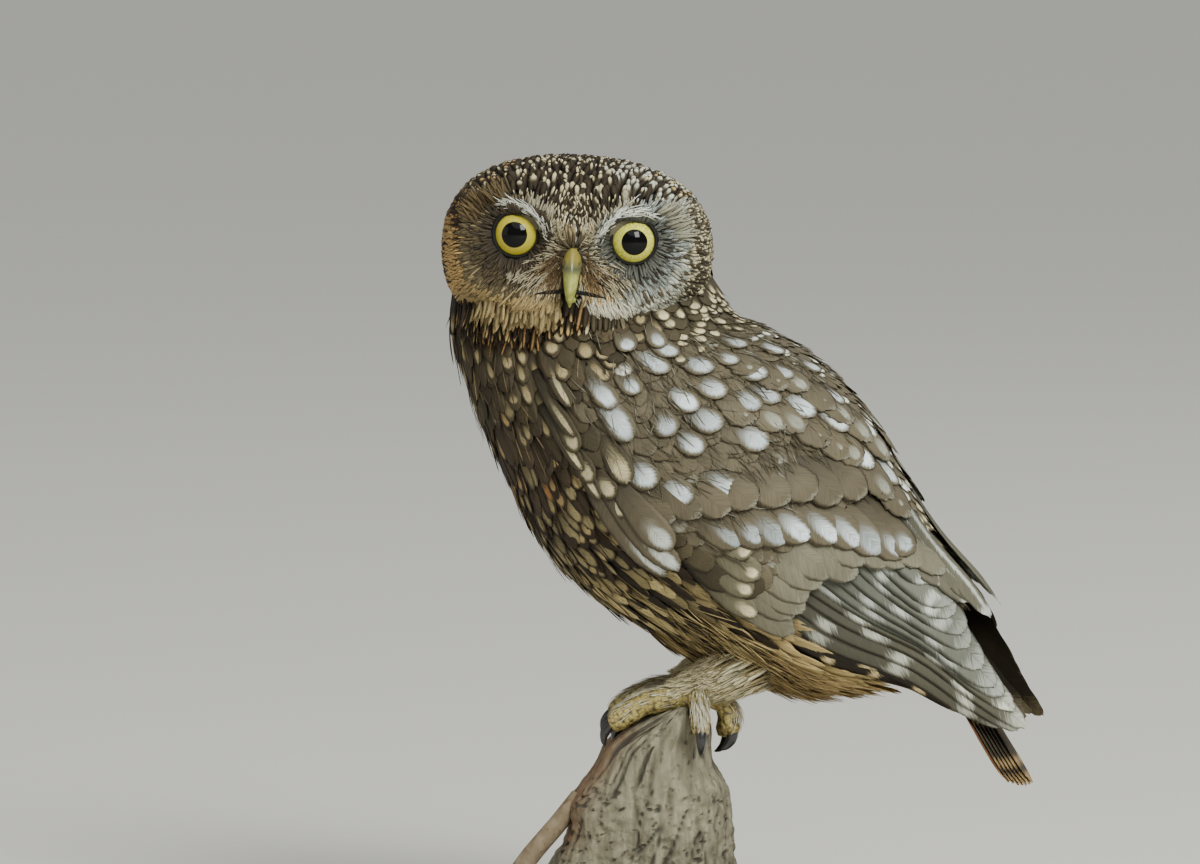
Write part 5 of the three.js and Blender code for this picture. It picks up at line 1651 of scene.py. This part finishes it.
# places of each toe's joints, backward, inward and up from the foot's middle, and its radius
TOES = {
    "front": ([(-3, 0, 0), (-12, 0.6, -1.8), (-19, 0.8, -5.8), (-21.6, 0.9, -9)], 3.5),
    "inner": ([(-2, 3, 0), (-10, 6.2, -2), (-16.5, 8, -6), (-19, 8.6, -10)], 3.1),
    "outer": ([(1, -1, 0), (1.6, -7.2, -0.9), (2, -11.8, -5), (2.1, -12.6, -10)], 3.0),
    "rear": ([(2, 0.4, 0), (7.4, 0.6, -1.2), (10.4, 0.7, -5.6), (9.6, 0.8, -10.6)], 3.1),
}
RIGHT_REAR_REACH = [(2, 0.4, 0), (7.2, 0.6, -2), (9.6, 0.7, -8), (8.4, 0.8, -14)]
TOE_VOXEL = 0.4
CLAW_LENGTH = 8.5
CLAW_RADII = [(0, 1.5, 1.65), (0.4, 1.3, 1.43), (0.8, 0.7, 0.77), (1, 0.14, 0.16)]
BRISTLES = 130
YELLOW_SKIN = ((150, 132, 70), (188, 170, 104), (96, 84, 50))
BLACK_HORN = ((22, 21, 22), (46, 44, 44), (14, 13, 14))


def toes_of(side):
    """Name, path, radius and sideways direction of each toe of one foot."""
    for name, (reach, thick) in TOES.items():
        if side > 0 and name == "rear":
            reach = RIGHT_REAR_REACH
        u, v, z = np.array(reach, float).T
        path = turned(FOOT_MIDDLE[0] + u, side * (FOOT_SPREAD - v), FOOT_MIDDLE[1] + z)
        yield name, path, thick, unit(np.cross((0, 0, 1), (path[3] - path[0]) * (1, 1, 0)))


def toe_radii(thick):
    """A toe's radii from root to end, with the faint rings of its shields."""
    shares = np.linspace(0, 1, 34)
    end = 1 - 4.2 * np.maximum(0, shares - 0.9)
    radius = thick * mix(1, 0.82, shares) * end + 0.035 * np.sin(shares * 62)
    return np.column_stack([shares, radius, radius])


def claw_path(path, thick, rear):
    """A claw carries on from its toe and hooks down and back."""
    along, _ = curve_along(path)
    ahead = unit(along(np.array(1.0)) - along(np.array(0.97)))
    flat = unit(ahead * (1, 1, 0)) * (-1 if rear else 1)
    radius = 0.6 * CLAW_LENGTH
    begin = math.atan2(-ahead[2], ahead @ flat) - 0.3
    turns = begin + 1.35 * np.linspace(0, 1, 8)
    points = along(np.array(0.93)) + 0.3 * thick * flat
    points = points + radius * (np.sin(turns) - math.sin(begin))[:, None] * flat
    points[:, 2] -= radius * (math.cos(begin) - np.cos(turns))
    return points, np.cross((0, 0, 1), flat)


toe_skin, tree, shader, colour = dark_and_light("toe_skin", 0.55, 260, YELLOW_SKIN, 0.25)
pebbles = node(tree, "TexVoronoi", {"Vector": object_place(tree), "Scale": 950}, "Distance", feature="F1")
give(shader, "Base Color", blend(tree, ((pebbles - 0.42) * 2.6).held(), colour, (84, 74, 46)))
rough(shader, 1 - pebbles, 0.8, 0.35)
claw_horn = dark_and_light("claw_horn", 0.3, 420, BLACK_HORN, 0.04, Coat_Weight=0.3)[0]
tilt, turn = np.linspace(0.05, np.pi - 0.05, 14)[:, None], whole_turn(24)
palm = np.stack([np.sin(tilt) * np.cos(turn), np.sin(tilt) * np.sin(turn), np.cos(tilt) + 0 * turn], -1)
palm = palm * PALM_HALVES
bristles = []
for side, name in ((-1, "left"), (1, "right")):
    toes = [palm + turned(np.array(FOOT_MIDDLE[0]), side * FOOT_SPREAD, FOOT_MIDDLE[1])]
    claws = []
    for toe, path, thick, aside in toes_of(side):
        sections = sweep(path, toe_radii(thick), 20, aside)
        off = sections - sections.mean(axis=1, keepdims=True)
        shares = each(np.linspace(0, 1, len(sections)))
        below = np.clip(-off[..., 2:] / thick, 0, 1)
        pads = bell(shares - 0.34, 0.1) + bell(shares - 0.64, 0.09) + bell(shares - 0.9, 0.07)
        toes.append(sections + off * 0.16 * below * pads)
        claw, claw_aside = claw_path(path, thick, toe == "rear")
        claws.append(sweep(claw, CLAW_RADII, 18, claw_aside, 26))
        tube = (path, toe_radii(thick), aside)
        shares = 0.02 + 0.66 * rng.random(BRISTLES)
        turns = rng.normal(0, 0.7, BRISTLES) - np.pi / 2
        one, other = tube_points(tube, np.full(2, 0.5), np.array([-0.5, 0.5]) * np.pi, 0)[:, 2]
        turns = turns if one > other else -turns
        looks = look(BRISTLES, (214, 206, 178), (150, 134, 98), vary=0.1)
        patches = np.stack([0.9 + 0.03 * shares, 0.7 + 0.02 * turns], -1)
        bristles.append(tube_vanes(tube, shares, turns, 4.6, 0.15, -0.2, 0.6, looks, patches))
    foot = lofted(f"toes_{name}", *toes)
    grown_together(foot, TOE_VOXEL, 2)
    keep(foot, toe_skin, "toe_skin", f"foot_{name}")
    keep(lofted(f"claws_{name}", *claws), claw_horn, "claw_horn", *(f"claw_{name}_{toe}" for toe in TOES))
vane_piece("toe_bristles", bristles, leg_coat, "leg_plumage")

# Perch
# The broken end of a weathered branch, grey and split along its grain, with pits, a little pale lichen, a
# strip of reddish bark down its front edge and a thin side branch.
# height and place of its front and of its back, and height and half width of its sides
PERCH_FRONT = [
    *((20, -38.5), (27, -33.5), (33, -31), (39, -31.3), (44, -28.5), (48, -25.5)),
    *((52, -23), (56, -21), (60, -16.5), (63.5, -11), (66, -6.5), (67.6, -2.5)),
]
PERCH_BACK = [
    *((20, 14.2), (34, 13.3), (40, 12.8), (44, 12), (48, 10)),
    *((51.5, 7.9), (56, 7.4), (61, 7.4), (64.5, 6.6), (67.6, 3.4)),
]
PERCH_SIDE = [(20, 25), (35, 24.5), (50, 23.5), (60, 22.5), (64, 21.5), (67.6, 18)]
PERCH_SQUARENESS = 2.6
PERCH_TOP = 67.6
PERCH_BOTTOM = 20
CRUMBLING_BELOW = 54
BRANCHLET = [(-28, -6, 42), (-34, -9, 35), (-41, -11, 27), (-45, -11.7, 21.5)]
BRANCHLET_RADII = [(0, 2.7, 2.7), (0.3, 2.5, 2.6), (0.6, 2.8, 2.6), (1, 2.6, 2.7)]


def about_branch(angle, reach, height):
    """A place on a tube about the branch, for its noise."""
    return Vector((math.cos(angle) * reach, math.sin(angle) * reach, height))


def weathered(high, angle, k, crumbling):
    """How far the wood stands out at one place, and how much of a crack or hole is there."""
    wander = 0.2 * noise.noise(Vector((high * 0.05, k * 0.02, 7))) + 0.012 * (PERCH_TOP - high)
    split = abs(noise.noise(about_branch(angle + wander, 5.5, high * 0.035)))
    place = about_branch(angle, 9, high * 0.12)
    pit = noise.noise(place * 2.3)
    cracked = math.exp(-((split / 0.055) ** 2)) * (noise.noise(place * 0.35) > -0.12)
    deep = 0.55 * noise.noise(place * 0.8) + 0.3 * pit - 0.8 * cracked - 0.5 * max(0, pit - 0.3)
    place = about_branch(angle, 8, high * 0.4)
    hole = max(0, noise.noise(place * 1.7) - 0.4 + 0.36 * max(0, noise.noise(place * 0.3)))
    deep += crumbling * (0.9 * noise.noise(place) - 1.5 * hole)
    return deep, max(cracked, crumbling * min(1, hole * 5))


def perch_sections():
    """The branch's sections, and how much of a crack or hole is at each of their points."""
    z = np.concatenate([np.linspace(PERCH_BOTTOM, 60, 110), np.linspace(60.4, PERCH_TOP, 26)])
    turn = whole_turn(200)
    front, back, side = (smooth_rows(rows)(z) for rows in (PERCH_FRONT, PERCH_BACK, PERCH_SIDE))
    c, s = np.cos(turn), np.sin(turn)
    corner = (np.abs(c) ** PERCH_SQUARENESS + np.abs(s) ** PERCH_SQUARENESS) ** (-1 / PERCH_SQUARENESS)
    ridges = 0.7 * np.sin(5 * turn + 0.06 * z[:, None]) + 0.5 * np.sin(11 * turn - 0.04 * z[:, None] + 1)
    far = corner * (1 + ridges / side * np.abs(s))
    crumbling = step(CRUMBLING_BELOW - z, 0, 14)
    rows = [[weathered(z[i], angle, k, crumbling[i]) for k, angle in enumerate(turn)] for i in range(len(z))]
    deep, cracked = np.moveaxis(np.array(rows), -1, 0)
    deep = deep * 0.9 * step(PERCH_TOP - z, 0, 1.5)[:, None]
    u = (front + back) / 2 + ((back - front) / 2) * far * c + deep * c
    return turned(u, side * far * s + deep * s, z[:, None]), cracked


bark, tree, shader = new_material("weathered_wood", 0.85)
place = object_place(tree)
grain = speckle(tree, stretched(tree, place, (420, 420, 90)), 1, 8)
broad, specks = speckle(tree, place, 70, 4), speckle(tree, place, 520, 5)
crack = read(tree, "crack", "Fac")
colour = blend(tree, ((grain - 0.3) * 2.4).held(), (84, 79, 62), (150, 144, 120))
colour = blend(tree, ((broad - 0.5) * 4).held(), colour, (118, 112, 90))
colour = blend(tree, ((specks - 0.6) * 9).held(), colour, (70, 62, 50))
lichen = ((broad - 0.62) * 9).held() * ((specks - 0.4) * 5).held()
colour = blend(tree, lichen, colour, (178, 178, 142))
colour = blend(tree, read(tree, "strip", "Fac") * (specks + 0.3).held(), colour, (112, 82, 54))
# Cracks and holes are painted near black: painted shade of their depths.
give(shader, "Base Color", blend(tree, crack * 0.85, colour, (30, 26, 21)))
rough(shader, grain * 0.9 + specks * 0.8 - crack, 0.9, 0.7)
sections, cracked = perch_sections()
branchlet = sweep(turned(*np.array(BRANCHLET, float).T), BRANCHLET_RADII, 24, (0, 1, 0), 40)
branchlet[..., 2] = np.maximum(branchlet[..., 2], PERCH_BOTTOM)
perch = lofted("perch_wood", sections, branchlet)
x, _, z = points_of(perch).T
put(perch, "crack", np.append(cracked, np.zeros(len(z) - cracked.size)))
strip = bell(x - smooth_rows(PERCH_FRONT)(z)[:, 0] - 1, 5) * step(z, 24, 34) * (1 - step(z, 58, 64))
strip[cracked.size + 2 :] = 0.6
put(perch, "strip", strip)
keep(perch, bark, "perch_wood", "perch")

# Stand
# A small dark wooden base with rounded corners and a softened edge, and two brushed steel rods that run
# from it up into the perch.
BASE_HALVES = (66, 48)
BASE_CORNER = 14
# heights, and how far the edge is set in there
BASE_EDGE = [(0, 0.5), (0.5, 0), (5.6, 0), (6.3, 0.12), (6.9, 0.45), (7.4, 0.85), (7.8, 1.4), (8, 2.1)]
ROD_EDGE = [(8.3, 0.3), (8.6, 0), (14, 0), (19.4, 0), (19.7, 0.3)]
ROD_RADIUS = 3
ROD_PLACES = {1: -27, 2: -3}


def rounded_plate(z, inset):
    points = []
    for quarter, (x, y) in enumerate(((1, 1), (-1, 1), (-1, -1), (1, -1))):
        turn = np.radians(np.linspace(0, 90, 12) + 90 * quarter)
        x = x * (BASE_HALVES[0] - BASE_CORNER) + (BASE_CORNER - inset) * np.cos(turn)
        y = y * (BASE_HALVES[1] - BASE_CORNER) + (BASE_CORNER - inset) * np.sin(turn)
        points.append(np.column_stack([x, y, z + 0 * turn]))
    return np.vstack(points)


walnut, tree, shader = new_material("walnut", 0.38, Coat_Weight=0.15, Coat_Roughness=0.25)
place = object_place(tree)
figure = {"Scale": 0.8, "Distortion": 7, "Detail": 3, "Detail Scale": 1.2}
figure["Vector"] = stretched(tree, place, (12, 90, 90))
waves = node(tree, "TexWave", figure, "Fac", bands_direction="Y")
pores = speckle(tree, stretched(tree, place, (60, 1500, 1500)), 1, 2)
colour = blend(tree, waves, (62, 42, 28), (96, 68, 45))
give(shader, "Base Color", blend(tree, ((pores - 0.58) * 6).held(), colour, (38, 26, 18)))
rough(shader, pores, 0.2, 0.1)
base = lofted("base_plate", [rounded_plate(*row) for row in BASE_EDGE])
keep(base, walnut, "base_wood", "stand_base")
steel, tree, shader = new_material("brushed_steel", 0.32, Metallic=1.0)
brushed = speckle(tree, stretched(tree, object_place(tree), (40, 40, 4200)), 1, 3)
give(shader, "Base Color", blend(tree, brushed, (150, 150, 150), (196, 195, 192)))
give(shader, "Roughness", brushed * 0.2 + 0.22)
heights, insets = np.array(ROD_EDGE).T[:, :, None]
turn, radii = whole_turn(40), ROD_RADIUS - insets
for number, x in ROD_PLACES.items():
    rings = np.stack([x + radii * np.cos(turn), radii * np.sin(turn), heights + 0 * turn], -1)
    keep(lofted(f"steel_rod_{number}", rings), steel, "rod_steel", f"stand_rod_{number}")

# The sizes of the model and of its solids
[[list(corner) for corner in box] for box in (cad_box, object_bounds())]
